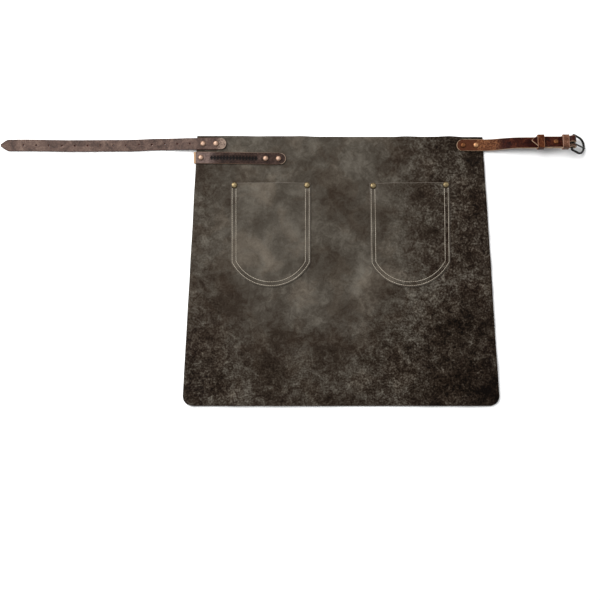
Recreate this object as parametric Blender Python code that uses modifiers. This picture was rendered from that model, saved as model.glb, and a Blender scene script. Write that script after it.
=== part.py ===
"""A short leather waist apron, lying flat and face up with its two straps spread out.

The apron is a tapered leather panel with two U-shaped patch pockets. A strap with punched holes is
riveted to its upper left corner, a short strap with a wire buckle and two keepers to its upper right
corner, and a doubled leather strip, the towel loop, wraps the left edge below the long strap. Every
rivet is a two-piece double-cap rivet: a domed cap over a post that stands on a back cap.

Lengths are in metres. While the pieces are modelled, X is measured from the panel's middle, Y from its
bottom edge and Z from the surface it lies on. At the end the whole apron is moved so that the origin is
the middle of its footprint.
"""
import math

import bmesh
import bpy
from mathutils import Euler, Matrix, Vector

# ---- Driving dimensions -------------------------------------------------------------------------

GAP = 0.0003                      # clearance between pieces that touch

PANEL_HEIGHT = 0.5235
PANEL_BOTTOM = 0.309              # half width along the bottom edge
PANEL_TOP_LEFT = 0.280            # the waist edge's ends, from the panel's middle
PANEL_TOP_RIGHT = 0.2748
PANEL_CORNER = 0.021              # radius of the two bottom corners
PANEL_THICKNESS = 0.0018
PANEL_SIDE_ROWS = (0.120, 0.230)  # the grid's lines keep clear of the middles of the holes
PANEL_WAIST_ROW = 0.498
PANEL_LEFT_COLUMNS = (-1.0, -0.88)
PANEL_LOOP_COLUMNS = (-0.765, -0.570)     # closer lines where the panel climbs onto the towel loop
PANEL_RIGHT_COLUMNS = (-0.3, 0.0, 0.3, 0.6, 0.85, 1.0)

WAIST_RISE = 0.0014               # the waist lies on its rivets' back caps
WAIST_RAMP = (0.330, 0.400)       # where the panel leaves the surface, in Y
CORNER_RISE = 0.0040              # the upper left corner also lies on the towel loop's back leg
CORNER_RAMP_X = (-0.160, -0.215)
CORNER_RAMP_Y = (0.438, 0.468)

POCKET_HALF = 0.0773
POCKET_TOP = 0.434
POCKET_BOTTOM = 0.2315
POCKET_ARC = 0.0866               # radius of the rounded bottom
POCKET_THICKNESS = 0.0014
POCKET_CENTRES = {"left": -0.1370, "right": 0.1327}
POCKET_TILT = {"left": 0.0, "right": math.radians(0.8)}
POCKET_RIVET_X = 0.0707           # from the pocket's centre line
POCKET_RIVET_Y = 0.4293
POCKET_SIDE_ROW = 0.300
POCKET_UPPER_ROW = 0.417

STITCH_INSET = {"outer": 0.0025, "inner": 0.0099}
STITCH_TOP = 0.4236               # the rows start just below the rivets
STITCH_RADIUS = 0.0004

STRAP_HALF = 0.0112               # half width of both straps and of the towel loop
STRAP_THICKNESS = 0.0030

HOLE_STRAP_TIP = (-0.6630, 0.5072)
HOLE_STRAP_END = (-0.2230, 0.5097)
HOLE_STRAP_LANDS = (-0.285, -0.350)   # where it comes down from the panel to the surface, in X
HOLE_STRAP_SAG = 0.0018           # it bows this much towards the hem, between the next two spans in X
HOLE_STRAP_SAG_LEFT = (-0.620, -0.520)
HOLE_STRAP_SAG_RIGHT = (-0.350, -0.420)
HOLE_TIP_LENGTH = 0.0150
HOLE_TIP_HALF = 0.0020            # half width left at the strap's blunt point
HOLE_COUNT = 14
HOLE_PITCH = 0.025
HOLE_FIRST = 0.0447               # from the strap's point
HOLE_RADIUS = 0.0017
HOLE_STRAP_RIVETS = (-0.2682, -0.2432)

LOOP_END = (-0.1074, 0.4809)
LOOP_SLOPE = -0.0095              # the strip runs slightly downhill to the right
LOOP_THICKNESS = 0.0024
LOOP_BACK_END = -0.2590           # where the leg behind the panel ends
LOOP_RIVETS = (-0.2724, -0.1470, -0.1219)
LOOP_ROUND_COLUMN = -0.135
LOOP_FLAT_COLUMN = -0.245
LOOP_TURN_START = 0.002           # the last straight lines before the fold are this far from the edge

BUCKLE_STRAP_END = (0.2246, 0.5070)
BUCKLE_STRAP_LIFTS = 0.2755       # beyond this X the strap rises and twists
BUCKLE_STRAP_RIVETS = (0.2365, 0.2615)
BUCKLE_STRAP_COLUMN = 0.250

END_CENTRE = (0.4460, 0.5112, 0.0210)    # middle of the fold that holds the buckle
STRAP_TWIST = math.radians(14.0)      # the lower long edge is the raised one
STRAP_CLIMB = math.radians(2.0)
STRAP_YAW = math.radians(-0.1)
STRAIGHT_LENGTH = 0.100           # the strap is straight over this length before the bar
STRAIGHT_COLUMNS = (-0.070, -0.020)
FOLD_RADIUS = 0.0047              # middle of the leather that wraps the bar, a loose fit
DROP_LENGTH = 0.014               # over this length the turned-back end comes down onto the strap
TURN_BACK_LENGTH = 0.0783
TURN_BACK_COLUMN = -0.022
TURN_BACK_RIVET = -0.0326
TURN_BACK_TIP_SHIFT = 0.0034      # its point is off the strap's middle
TURN_BACK_TIP_HALF = 0.0008
TURN_BACK_TIP_SLOPE = 1.12        # the point's length for each unit of its half width
SLOT = (-0.010, 0.008, 0.0060)    # prong slot: from, to, width
SLOT_SHIFT = -0.0041              # the slot is off the strap's middle by this much

BUCKLE_WIRE = 0.0021              # radius of the ring's wire
BUCKLE_HALF = 0.0157              # half width of the ring, on the wire's centre line
BUCKLE_DEPTH = 0.0334
BUCKLE_CORNER = 0.0026
BAR_CENTRE = (-0.0010, -0.0005, -0.0003)  # where the loose ring lies in the fold
BUCKLE_SKEW = math.radians(-9.0)
BUCKLE_DROOP = math.radians(37.3)     # the ring hangs this far below the strap's plane
PRONG_WIRE = 0.0015
PRONG_EYE_Y = -0.0036             # the prong runs from here on the bar
PRONG_TIP = (0.0332, -0.0022)     # to here over the ring's far side
PRONG_WRAP = math.radians(260.0)

KEEPER_THICKNESS = 0.0020
KEEPER_HALF = 0.0116              # inner half width
KEEPER_LOW = -0.0065              # inner underside, in the strap end's own height
KEEPER_HIGH = 0.0044
KEEPER_CORNER = 0.0028
KEEPERS = {"buckle_keeper": (-0.01425, 0.0125), "sliding_keeper": (-0.0620, 0.0130)}

CAP_SIZE = (0.0051, 0.0022)        # radius and height
POCKET_CAP_SIZE = (0.0058, 0.0024)
CAP_BORE = 0.0018
CAP_BORE_DEPTH = 0.0016
BACK_RADIUS = 0.0045
BACK_THICKNESS = 0.0010
POST_RADIUS = 0.0015
POST_HOLE = 0.0018

# ---- Materials: colour, roughness, metallic -----------------------------------------------------

FINISHES = {
    "panel": ((0.062, 0.049, 0.038), 0.70, 0.0),
    "pocket": ((0.075, 0.064, 0.051), 0.70, 0.0),
    "hole_strap": ((0.150, 0.102, 0.085), 0.60, 0.0),
    "loop": ((0.070, 0.042, 0.033), 0.60, 0.0),
    "buckle_strap": ((0.062, 0.019, 0.010), 0.35, 0.0),
    "keeper": ((0.150, 0.080, 0.050), 0.45, 0.0),
    "thread": ((0.420, 0.370, 0.290), 0.80, 0.0),
    "brass": ((0.260, 0.180, 0.090), 0.40, 1.0),
    "copper": ((0.520, 0.330, 0.210), 0.35, 1.0),
    "wire": ((0.030, 0.028, 0.027), 0.30, 1.0),
}


# ---- Scene helpers ------------------------------------------------------------------------------

def clear_scene():
    for thing in list(bpy.data.objects):
        bpy.data.objects.remove(thing, do_unlink=True)


def new_collection(name):
    collection = bpy.data.collections.new(name)
    bpy.context.scene.collection.children.link(collection)
    return collection


def new_empty(name, parent=None, location=(0, 0, 0), rotation=(0, 0, 0)):
    empty = bpy.data.objects.new(name, None)
    empty.parent = parent
    empty.location = location
    empty.rotation_euler = rotation
    HELPERS.objects.link(empty)
    return empty


def new_part(name, data, finish, parent, location=(0, 0, 0), rotation=(0, 0, 0)):
    """One sub-part: an object of its own with a material of its own."""
    colour, roughness, metallic = FINISHES[finish]
    material = bpy.data.materials.new(name)
    material.use_nodes = True
    shader = material.node_tree.nodes["Principled BSDF"]
    shader.inputs["Base Color"].default_value = (*colour, 1.0)
    shader.inputs["Roughness"].default_value = roughness
    shader.inputs["Metallic"].default_value = metallic
    data.materials.append(material)
    part = bpy.data.objects.new(name, data)
    part.parent = parent
    part.location = location
    part.rotation_euler = rotation
    PARTS.objects.link(part)
    return part


def new_cutter(name, bm, parent):
    mesh = bpy.data.meshes.new(name)
    bm.to_mesh(mesh)
    bm.free()
    cutter = bpy.data.objects.new(name, mesh)
    cutter.parent = parent
    cutter.hide_render = True
    cutter.display_type = "WIRE"
    HELPERS.objects.link(cutter)
    return cutter


def hole_cutter(name, parent, spots, radius, low, high):
    """Upright pins through the given (x, y) spots, for punching holes."""
    bm = bmesh.new()
    for x, y in spots:
        middle = Matrix.Translation((x, y, (low + high) / 2))
        bmesh.ops.create_cone(bm, cap_ends=True, segments=12, radius1=radius, radius2=radius,
                              depth=high - low, matrix=middle)
    return new_cutter(name, bm, parent)


def cut(part, cutter):
    boolean = part.modifiers.new(cutter.name, "BOOLEAN")
    boolean.operation = "DIFFERENCE"
    boolean.object = cutter


def steps(start, end, count):
    """count + 1 evenly spaced values from start to end."""
    return [start + (end - start) * i / count for i in range(count + 1)]


def ease(start, end, value):
    """0 before start, 1 after end, with a smooth rise between them."""
    t = min(max((value - start) / (end - start), 0.0), 1.0)
    return t * t * (3.0 - 2.0 * t)


def leather(name, columns, rows, place, thickness, offset, finish, parent):
    """A leather piece: a grid with its (column, row) crossings at place(column, row), made thick.

    Offset 1 puts the thickness above the grid and 0 puts it half on each side.
    """
    mesh = bpy.data.meshes.new(name)
    bm = bmesh.new()
    bmesh.ops.create_grid(bm, x_segments=len(columns) - 1, y_segments=len(rows) - 1, size=0.5)
    for vert in bm.verts:
        i = round((vert.co.x + 0.5) * (len(columns) - 1))
        j = round((vert.co.y + 0.5) * (len(rows) - 1))
        vert.co = place(columns[i], rows[j])
    bm.to_mesh(mesh)
    bm.free()
    part = new_part(name, mesh, finish, parent)
    solidify = part.modifiers.new("thickness", "SOLIDIFY")
    solidify.thickness = thickness
    solidify.offset = offset
    return part


def tube(name, points, radius, sides, finish, parent, cyclic=False, taper=None):
    """A wire or thread of round section along the given points."""
    curve = bpy.data.curves.new(name, "CURVE")
    curve.dimensions = "3D"
    curve.bevel_depth = radius
    curve.bevel_resolution = sides // 2 - 2
    curve.use_fill_caps = not cyclic
    spline = curve.splines.new("POLY")
    spline.points.add(len(points) - 1)
    for i, point in enumerate(points):
        spline.points[i].co = (*point, 1.0)
        spline.points[i].radius = taper[i] if taper else 1.0
    spline.use_cyclic_u = cyclic
    return new_part(name, curve, finish, parent)


def turned(name, profile, sides, finish, parent, location):
    """A round piece: a profile of (radius, height) points turned about Z."""
    mesh = bpy.data.meshes.new(name)
    points = [(radius, 0.0, height) for radius, height in profile]
    mesh.from_pydata(points, [(i, i + 1) for i in range(len(points) - 1)], [])
    part = new_part(name, mesh, finish, parent, location)
    screw = part.modifiers.new("turn", "SCREW")
    screw.steps = sides
    screw.render_steps = sides
    screw.use_merge_vertices = True
    screw.merge_threshold = 0.00001
    screw.use_smooth_shade = True
    return part


# ---- How the panel lies -------------------------------------------------------------------------

def rise(x, y):
    """Height of the panel's underside."""
    waist = WAIST_RISE * ease(*WAIST_RAMP, y)
    corner = (CORNER_RISE - WAIST_RISE) * ease(*CORNER_RAMP_X, x) * ease(*CORNER_RAMP_Y, y)
    return waist + corner


def panel_top(x, y):
    """Height of a piece's underside where it lies on the panel."""
    return rise(x, y) + PANEL_THICKNESS + GAP


def panel_half_width(y, top=PANEL_TOP_LEFT):
    half = PANEL_BOTTOM + (top - PANEL_BOTTOM) * y / PANEL_HEIGHT
    if y < PANEL_CORNER:
        half -= PANEL_CORNER - math.sqrt(PANEL_CORNER ** 2 - (PANEL_CORNER - y) ** 2)
    return half


def round_end(distance, half):
    """Half width of a strip at a distance from its half-round end."""
    inside = min(distance, half)
    return math.sqrt(half ** 2 - (half - inside) ** 2)


def blunt_point(distance):
    """Half width of the hole strap at a distance from its point."""
    t = min(distance / HOLE_TIP_LENGTH, 1.0)
    return HOLE_TIP_HALF + (STRAP_HALF - HOLE_TIP_HALF) * (1.0 - (1.0 - t) ** 1.25)


def turned_back_sides(distance):
    """Where the turned-back end's two long sides are, across, at a distance from its point."""
    half = TURN_BACK_TIP_HALF + distance / TURN_BACK_TIP_SLOPE
    return (max(TURN_BACK_TIP_SHIFT - half, -STRAP_HALF), min(TURN_BACK_TIP_SHIFT + half, STRAP_HALF))


def round_end_steps(half):
    """Distances from a half-round end that follow its arc evenly; the first leaves a short flat."""
    return [half * (1.0 - math.cos(math.radians(angle))) for angle in (8, 26, 44, 58, 74, 90)]


# ---- The leather pieces -------------------------------------------------------------------------

def make_panel(parent):
    corner_rows = [PANEL_CORNER * (1.0 - math.cos(math.radians(a))) for a in (0, 18, 36, 54, 72, 90)]
    rows = [*corner_rows, *PANEL_SIDE_ROWS] + steps(*WAIST_RAMP, 5) + steps(*CORNER_RAMP_Y, 4)
    rows += [PANEL_WAIST_ROW, PANEL_HEIGHT]
    columns = [*PANEL_LEFT_COLUMNS, *steps(*PANEL_LOOP_COLUMNS, 5), *PANEL_RIGHT_COLUMNS]

    def place(column, y):
        x = column * panel_half_width(y, PANEL_TOP_RIGHT if column > 0.0 else PANEL_TOP_LEFT)
        return x, y, rise(x, y)

    return leather("apron_panel", columns, rows, place, PANEL_THICKNESS, 1, "panel", parent)


def pocket_spot(side, across, y):
    """Where a point of a pocket lies on the panel: across is measured from its centre line."""
    turn = POCKET_TILT[side]
    down = y - POCKET_TOP
    x = POCKET_CENTRES[side] + across * math.cos(turn) - down * math.sin(turn)
    return x, POCKET_TOP + across * math.sin(turn) + down * math.cos(turn)


def pocket_arc(inset, angle):
    """A point on the pocket's rounded bottom, moved in by the inset."""
    radius = POCKET_ARC - inset
    return radius * math.sin(angle), POCKET_BOTTOM + POCKET_ARC - radius * math.cos(angle)


def make_pocket(side, parent):
    corner = math.asin(POCKET_HALF / POCKET_ARC)
    arc_rows = [pocket_arc(0.0, angle)[1] for angle in steps(math.radians(4.0), corner, 7)]
    rows = arc_rows + [POCKET_SIDE_ROW] + steps(*WAIST_RAMP, 5) + [POCKET_UPPER_ROW, POCKET_TOP]

    def place(column, y):
        depth = POCKET_BOTTOM + POCKET_ARC - y
        half = POCKET_HALF
        if y < arc_rows[-1]:
            half = math.sqrt(POCKET_ARC ** 2 - depth ** 2)
        x, y = pocket_spot(side, column * half, y)
        return x, y, panel_top(x, y)

    columns = steps(-1.0, 1.0, 6)
    return leather("pocket_" + side, columns, rows, place, POCKET_THICKNESS, 1, "pocket", parent)


def make_stitch_row(side, row, parent):
    """A row of thread down one side of a pocket, round its bottom and up the other side."""
    inset = STITCH_INSET[row]
    half = POCKET_HALF - inset
    corner = math.asin(half / (POCKET_ARC - inset))
    arc = [pocket_arc(inset, angle) for angle in steps(-corner, corner, 14)]
    side_rows = [POCKET_SIDE_ROW] + steps(*WAIST_RAMP, 4) + [STITCH_TOP]
    flat = [(-half, y) for y in reversed(side_rows)] + arc + [(half, y) for y in side_rows]
    points = []
    for across, along in flat:
        x, y = pocket_spot(side, across, along)
        points.append((x, y, panel_top(x, y) + POCKET_THICKNESS + GAP + STITCH_RADIUS))
    tube("pocket_" + side + "_stitch_" + row, points, STITCH_RADIUS, 6, "thread", parent)


def hole_strap_y(x):
    """Centre line of the hole strap."""
    t = (x - HOLE_STRAP_TIP[0]) / (HOLE_STRAP_END[0] - HOLE_STRAP_TIP[0])
    sag = HOLE_STRAP_SAG * ease(*HOLE_STRAP_SAG_LEFT, x) * ease(*HOLE_STRAP_SAG_RIGHT, x)
    return HOLE_STRAP_TIP[1] + (HOLE_STRAP_END[1] - HOLE_STRAP_TIP[1]) * t - sag


def make_hole_strap(parent):
    tip, end = HOLE_STRAP_TIP[0], HOLE_STRAP_END[0]
    pointed = [tip + HOLE_TIP_LENGTH * t for t in (0.0, 0.12, 0.3, 0.55, 0.8, 1.0)]
    bowed = steps(*HOLE_STRAP_SAG_LEFT, 4) + steps(*reversed(HOLE_STRAP_SAG_RIGHT), 3)[:-1]
    rounded = [end - d for d in reversed(round_end_steps(STRAP_HALF))]
    columns = pointed + bowed + steps(*reversed(HOLE_STRAP_LANDS), 8) + rounded

    def place(x, row):
        half = min(blunt_point(x - tip), round_end(end - x, STRAP_HALF))
        on_panel = panel_top(end, hole_strap_y(end))
        return x, hole_strap_y(x) + row * half, on_panel * (1.0 - ease(*HOLE_STRAP_LANDS, x))

    strap = leather("hole_strap", columns, steps(-1.0, 1.0, 3), place, STRAP_THICKNESS, 1,
                    "hole_strap", parent)
    spots = [(tip + HOLE_FIRST + HOLE_PITCH * i, 0.0) for i in range(HOLE_COUNT)]
    spots = [(x, hole_strap_y(x)) for x, _ in spots]
    cut(strap, hole_cutter("strap_punch", parent, spots, HOLE_RADIUS, -0.005, 0.015))


def loop_y(x):
    """Centre line of the towel loop."""
    return LOOP_END[1] + LOOP_SLOPE * (x - LOOP_END[0])


def make_towel_loop(parent):
    """The strip runs along the panel, round its left edge and back behind it."""
    edge = -panel_half_width(loop_y(-PANEL_TOP_LEFT) - STRAP_HALF) - 0.0001
    panel_middle = rise(edge, PANEL_HEIGHT) + PANEL_THICKNESS / 2
    fold = PANEL_THICKNESS / 2 + GAP + LOOP_THICKNESS / 2
    end = LOOP_END[0]

    def on_front(x):
        return Vector((x, loop_y(x), panel_top(x, loop_y(x)) + LOOP_THICKNESS / 2))

    stations = [(on_front(end - d), round_end(d, STRAP_HALF)) for d in round_end_steps(STRAP_HALF)]
    front = [LOOP_ROUND_COLUMN] + steps(*CORNER_RAMP_X, 5) + [LOOP_FLAT_COLUMN, edge + LOOP_TURN_START]
    stations += [(on_front(x), STRAP_HALF) for x in front]
    for angle in steps(0.0, math.pi, 8):
        turn = Vector((edge - fold * math.sin(angle), 0.0, panel_middle + fold * math.cos(angle)))
        turn.y = loop_y(edge)
        stations.append((turn, STRAP_HALF))
    for x in (edge + LOOP_TURN_START, LOOP_BACK_END):
        stations.append((Vector((x, loop_y(x), panel_middle - fold)), STRAP_HALF))

    def place(i, row):
        middle, half = stations[i]
        return middle.x, middle.y - row * half, middle.z

    return leather("towel_loop", list(range(len(stations))), steps(-1.0, 1.0, 3), place,
                   LOOP_THICKNESS, 0, "loop", parent)


def strap_end_matrix():
    """The strap end's own frame: X towards the buckle, Z out of its face, origin on the bar."""
    turn = Euler((-STRAP_TWIST, -STRAP_CLIMB, STRAP_YAW)).to_matrix().to_4x4()
    return Matrix.Translation(END_CENTRE) @ turn


def buckle_strap_stations():
    """Middle, sideways direction and half width at each station along the buckle strap."""
    frame = strap_end_matrix()
    turned_side = frame.to_3x3() @ Vector((0, 1, 0))
    start_x, start_y = BUCKLE_STRAP_END
    level = panel_top(start_x, start_y) + STRAP_THICKNESS / 2
    stations = []
    for x in [start_x + d for d in round_end_steps(STRAP_HALF)] + [BUCKLE_STRAP_COLUMN, BUCKLE_STRAP_LIFTS]:
        half = round_end(x - start_x, STRAP_HALF)
        stations.append((Vector((x, start_y, level)), Vector((0, 1, 0)), half))

    lift = Vector((BUCKLE_STRAP_LIFTS, start_y, level))
    straight = frame @ Vector((-STRAIGHT_LENGTH, 0, -FOLD_RADIUS))
    heading = frame.to_3x3() @ Vector((1, 0, 0))
    length = (straight - lift).length
    no_turn = Matrix.Identity(3).to_quaternion()
    full_turn = frame.to_quaternion()
    for t in steps(0.0, 1.0, 9)[1:]:
        middle = (lift * (2 * t ** 3 - 3 * t ** 2 + 1) + straight * (3 * t ** 2 - 2 * t ** 3)
                  + Vector((length, 0, 0)) * (t ** 3 - 2 * t ** 2 + t)
                  + heading * length * (t ** 3 - t ** 2))
        side = no_turn.slerp(full_turn, ease(0.0, 1.0, t)) @ Vector((0, 1, 0))
        stations.append((middle, side, STRAP_HALF))

    flat = [(x, -FOLD_RADIUS) for x in STRAIGHT_COLUMNS]
    for angle in steps(-math.pi / 2, math.pi / 2, 8):
        flat.append((FOLD_RADIUS * math.cos(angle), FOLD_RADIUS * math.sin(angle)))
    landed = -FOLD_RADIUS + STRAP_THICKNESS + GAP
    for x in steps(0.0, -DROP_LENGTH, 8)[1:]:
        flat.append((x, FOLD_RADIUS + (landed - FOLD_RADIUS) * ease(0.0, -DROP_LENGTH, x)))
    flat.append((TURN_BACK_COLUMN, landed))
    stations += [(frame @ Vector((x, 0, z)), turned_side, STRAP_HALF) for x, z in flat]

    whole = STRAP_HALF - TURN_BACK_TIP_HALF
    reaches = (whole + TURN_BACK_TIP_SHIFT, whole - TURN_BACK_TIP_SHIFT, whole / 2, 0.0)
    for distance in [TURN_BACK_TIP_SLOPE * reach for reach in reaches]:
        low, high = turned_back_sides(distance)
        middle = frame @ Vector((distance - TURN_BACK_LENGTH, (low + high) / 2, landed))
        stations.append((middle, turned_side, (high - low) / 2))
    return stations


def make_buckle_strap(parent, strap_end):
    stations = buckle_strap_stations()

    def place(i, row):
        middle, side, half = stations[i]
        return middle + side * row * half

    strap = leather("buckle_strap", list(range(len(stations))), steps(-1.0, 1.0, 3), place,
                    STRAP_THICKNESS, 0, "buckle_strap", parent)
    start, end, width = SLOT
    bm = bmesh.new()
    bmesh.ops.create_cube(bm, size=1.0)
    bmesh.ops.scale(bm, vec=(end - start, width, 0.016), verts=bm.verts)
    bmesh.ops.translate(bm, vec=((start + end) / 2, SLOT_SHIFT, 0), verts=bm.verts)
    cut(strap, new_cutter("slot_punch", bm, strap_end))
    spots = [(TURN_BACK_RIVET, 0.0)]
    cut(strap, hole_cutter("turn_back_punch", strap_end, spots, POST_HOLE, -0.010, 0.008))
    return strap


def rounded_rectangle(half_width, low, high, radius):
    """Corner arcs of a rounded rectangle, anticlockwise."""
    points = []
    corners = ((1, high, 0), (-1, high, 90), (-1, low, 180), (1, low, 270))
    for side, level, first in corners:
        inward = -radius if level == high else radius
        for angle in steps(math.radians(first), math.radians(first + 90), 4):
            x = side * (half_width - radius) + radius * math.cos(angle)
            points.append((x, level + inward + radius * math.sin(angle)))
    return points


def make_keeper(name, centre, width, strap_end):
    """A closed leather band round the strap, drawn as its section and extruded along the strap."""
    curve = bpy.data.curves.new(name, "CURVE")
    curve.dimensions = "2D"
    curve.fill_mode = "BOTH"
    curve.extrude = width / 2
    for grow in (KEEPER_THICKNESS, 0.0):
        points = rounded_rectangle(KEEPER_HALF + grow, KEEPER_LOW - grow, KEEPER_HIGH + grow,
                                   KEEPER_CORNER - KEEPER_THICKNESS + grow)
        spline = curve.splines.new("POLY")
        spline.points.add(len(points) - 1)
        for point, (across, height) in zip(spline.points, points):
            point.co = (across, height, 0.0, 1.0)
        spline.use_cyclic_u = True
    upright = Euler((math.pi / 2, 0, math.pi / 2))
    return new_part(name, curve, "keeper", strap_end, (centre, 0, 0), upright)


# ---- Metal --------------------------------------------------------------------------------------

def make_buckle(pivot):
    """A closed ring of wire: a straight bar, two sides and a half-round end."""
    points = []
    for side in (1, -1):
        for angle in steps(0.0, math.pi / 2, 4):
            x = BUCKLE_CORNER * (1.0 - math.cos(angle))
            y = BUCKLE_HALF - BUCKLE_CORNER * (1.0 - math.sin(angle))
            points.append((x, y * side))
        if side == 1:
            middle = BUCKLE_DEPTH - BUCKLE_HALF
            for angle in steps(math.pi / 2, -math.pi / 2, 14):
                points.append((middle + BUCKLE_HALF * math.cos(angle), BUCKLE_HALF * math.sin(angle)))
        else:
            points[-5:] = reversed(points[-5:])
    ring = [(x, y, 0.0) for x, y in points]
    tube("buckle_frame", ring, BUCKLE_WIRE, 8, "wire", pivot, cyclic=True)


def make_prong(pivot):
    """A wire tongue: its eye wraps the bar, and its shank rests on the ring's far side."""
    eye = BUCKLE_WIRE + GAP + PRONG_WIRE
    points = []
    for angle in steps(math.pi / 2 + PRONG_WRAP, math.pi / 2, 13):
        points.append((eye * math.cos(angle), PRONG_EYE_Y, eye * math.sin(angle)))
    tip_x, tip_y = PRONG_TIP
    for x in (0.012, 0.024, tip_x - 0.003, tip_x - 0.001, tip_x):
        points.append((x, PRONG_EYE_Y + (tip_y - PRONG_EYE_Y) * x / tip_x, eye))
    taper = [1.0] * (len(points) - 3) + [0.95, 0.75, 0.4]
    tube("buckle_prong", points, PRONG_WIRE, 8, "wire", pivot, taper=taper)


def make_rivet(name, finish, parent, x, y, under, over):
    """A double-cap rivet through the layers between the heights under and over."""
    radius, height = POCKET_CAP_SIZE if name.startswith("pocket") else CAP_SIZE
    cap_base = over + GAP
    dome = [(radius * math.sin(a), height * math.cos(a)) for a in steps(0.0, 1.4, 5)]
    cap = dome + [(radius, 0.0), (CAP_BORE, 0.0), (CAP_BORE, CAP_BORE_DEPTH), (0.0, CAP_BORE_DEPTH)]
    turned(name + "_cap", cap, 16, finish, parent, (x, y, cap_base))
    back_base = under - GAP - BACK_THICKNESS
    post_top = cap_base + CAP_BORE_DEPTH - GAP - back_base
    back = [(0.0, post_top), (POST_RADIUS, post_top), (POST_RADIUS, BACK_THICKNESS),
            (BACK_RADIUS, BACK_THICKNESS), (BACK_RADIUS, 0.0), (0.0, 0.0)]
    turned(name + "_back", back, 12, finish, parent, (x, y, back_base))


def rivet_plan():
    """Name, finish, spot and layer heights of every upright rivet."""
    plan = []
    for side in ("left", "right"):
        for edge, across in (("left", -POCKET_RIVET_X), ("right", POCKET_RIVET_X)):
            x, y = pocket_spot(side, across, POCKET_RIVET_Y)
            over = panel_top(x, y) + POCKET_THICKNESS
            plan.append(("pocket_" + side + "_" + edge + "_rivet", "brass", x, y, rise(x, y), over))
    for number, x in enumerate(HOLE_STRAP_RIVETS, start=1):
        y = hole_strap_y(x)
        over = panel_top(x, y) + STRAP_THICKNESS
        plan.append(("hole_strap_rivet_%d" % number, "copper", x, y, rise(x, y), over))
    for number, x in enumerate(LOOP_RIVETS, start=1):
        y = loop_y(x)
        under = rise(x, y)
        if x < LOOP_BACK_END:
            under -= GAP + LOOP_THICKNESS
        over = panel_top(x, y) + LOOP_THICKNESS
        plan.append(("towel_loop_rivet_%d" % number, "copper", x, y, under, over))
    for number, x in enumerate(BUCKLE_STRAP_RIVETS, start=1):
        y = BUCKLE_STRAP_END[1]
        over = panel_top(x, y) + STRAP_THICKNESS
        plan.append(("buckle_strap_rivet_%d" % number, "copper", x, y, rise(x, y), over))
    return plan


# ---- Assembly -----------------------------------------------------------------------------------

def centre_on_footprint(root):
    """Move the apron so that the middle of its box, at the surface, is the origin."""
    bpy.context.view_layer.update()
    depsgraph = bpy.context.evaluated_depsgraph_get()
    low, high = Vector((1, 1, 1)), Vector((-1, -1, -1))
    for part in PARTS.objects:
        shape = part.evaluated_get(depsgraph)
        mesh = shape.to_mesh()
        for vert in mesh.vertices:
            spot = shape.matrix_world @ vert.co
            low = Vector(map(min, low, spot))
            high = Vector(map(max, high, spot))
        shape.to_mesh_clear()
    root.location = (-(low.x + high.x) / 2, -(low.y + high.y) / 2, -low.z)
    bpy.context.view_layer.update()


def main():
    root = new_empty("waist_apron_root")
    end = strap_end_matrix()
    strap_end = new_empty("strap_end", root, end.to_translation(), end.to_euler())
    pivot = new_empty("buckle_pivot", strap_end, BAR_CENTRE, (0, BUCKLE_DROOP, BUCKLE_SKEW))

    panel = make_panel(root)
    pockets = [make_pocket(side, root) for side in ("left", "right")]
    for side in ("left", "right"):
        for row in ("outer", "inner"):
            make_stitch_row(side, row, root)
    make_hole_strap(root)
    loop = make_towel_loop(root)
    buckle_strap = make_buckle_strap(root, strap_end)
    for name, (centre, width) in KEEPERS.items():
        make_keeper(name, centre, width, strap_end)

    plan = rivet_plan()
    spots = [(x, y) for _, _, x, y, _, _ in plan]
    punch = hole_cutter("rivet_punch", root, spots, POST_HOLE, -0.005, 0.015)
    for part in [panel, PARTS.objects["hole_strap"], loop, buckle_strap] + pockets:
        cut(part, punch)
    for name, finish, x, y, under, over in plan:
        make_rivet(name, finish, root, x, y, under, over)
    lower_face = -FOLD_RADIUS - STRAP_THICKNESS / 2
    upper_face = lower_face + 2 * STRAP_THICKNESS + GAP
    make_rivet("turn_back_rivet", "brass", strap_end, TURN_BACK_RIVET, 0.0, lower_face, upper_face)

    make_buckle(pivot)
    make_prong(pivot)
    centre_on_footprint(root)


clear_scene()
PARTS = new_collection("waist_apron")
HELPERS = new_collection("helpers")
main()
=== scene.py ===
"""How the short leather waist apron looks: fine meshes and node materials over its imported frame.

Lengths are in metres. The pieces are worked out in the apron's own coordinates, as in the CAD: X from
the panel's middle, Y up from its hem and Z up from the surface that it lies on. Every leather piece
starts as a flat cut, a pattern of (along, across) points, which is then laid, bent or folded into place.
"""
import bisect
import math

import bpy
from mathutils import Euler, Matrix, Vector, kdtree, noise


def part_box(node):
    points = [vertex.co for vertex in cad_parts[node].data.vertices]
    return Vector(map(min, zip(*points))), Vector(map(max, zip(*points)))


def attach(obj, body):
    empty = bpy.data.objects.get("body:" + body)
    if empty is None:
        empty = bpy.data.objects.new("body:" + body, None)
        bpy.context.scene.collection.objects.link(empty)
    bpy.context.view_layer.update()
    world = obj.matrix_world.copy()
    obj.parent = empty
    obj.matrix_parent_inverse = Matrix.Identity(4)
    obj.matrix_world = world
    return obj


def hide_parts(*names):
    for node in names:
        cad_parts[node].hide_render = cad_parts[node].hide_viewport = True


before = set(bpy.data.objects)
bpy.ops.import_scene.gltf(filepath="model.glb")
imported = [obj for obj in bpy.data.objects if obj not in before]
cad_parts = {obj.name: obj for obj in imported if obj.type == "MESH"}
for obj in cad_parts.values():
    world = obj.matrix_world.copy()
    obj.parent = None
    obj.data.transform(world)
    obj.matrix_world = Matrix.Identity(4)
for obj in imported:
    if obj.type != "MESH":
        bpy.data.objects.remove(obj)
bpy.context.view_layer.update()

# ---- Sizes that the CAD also has ---------------------------------------------

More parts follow.
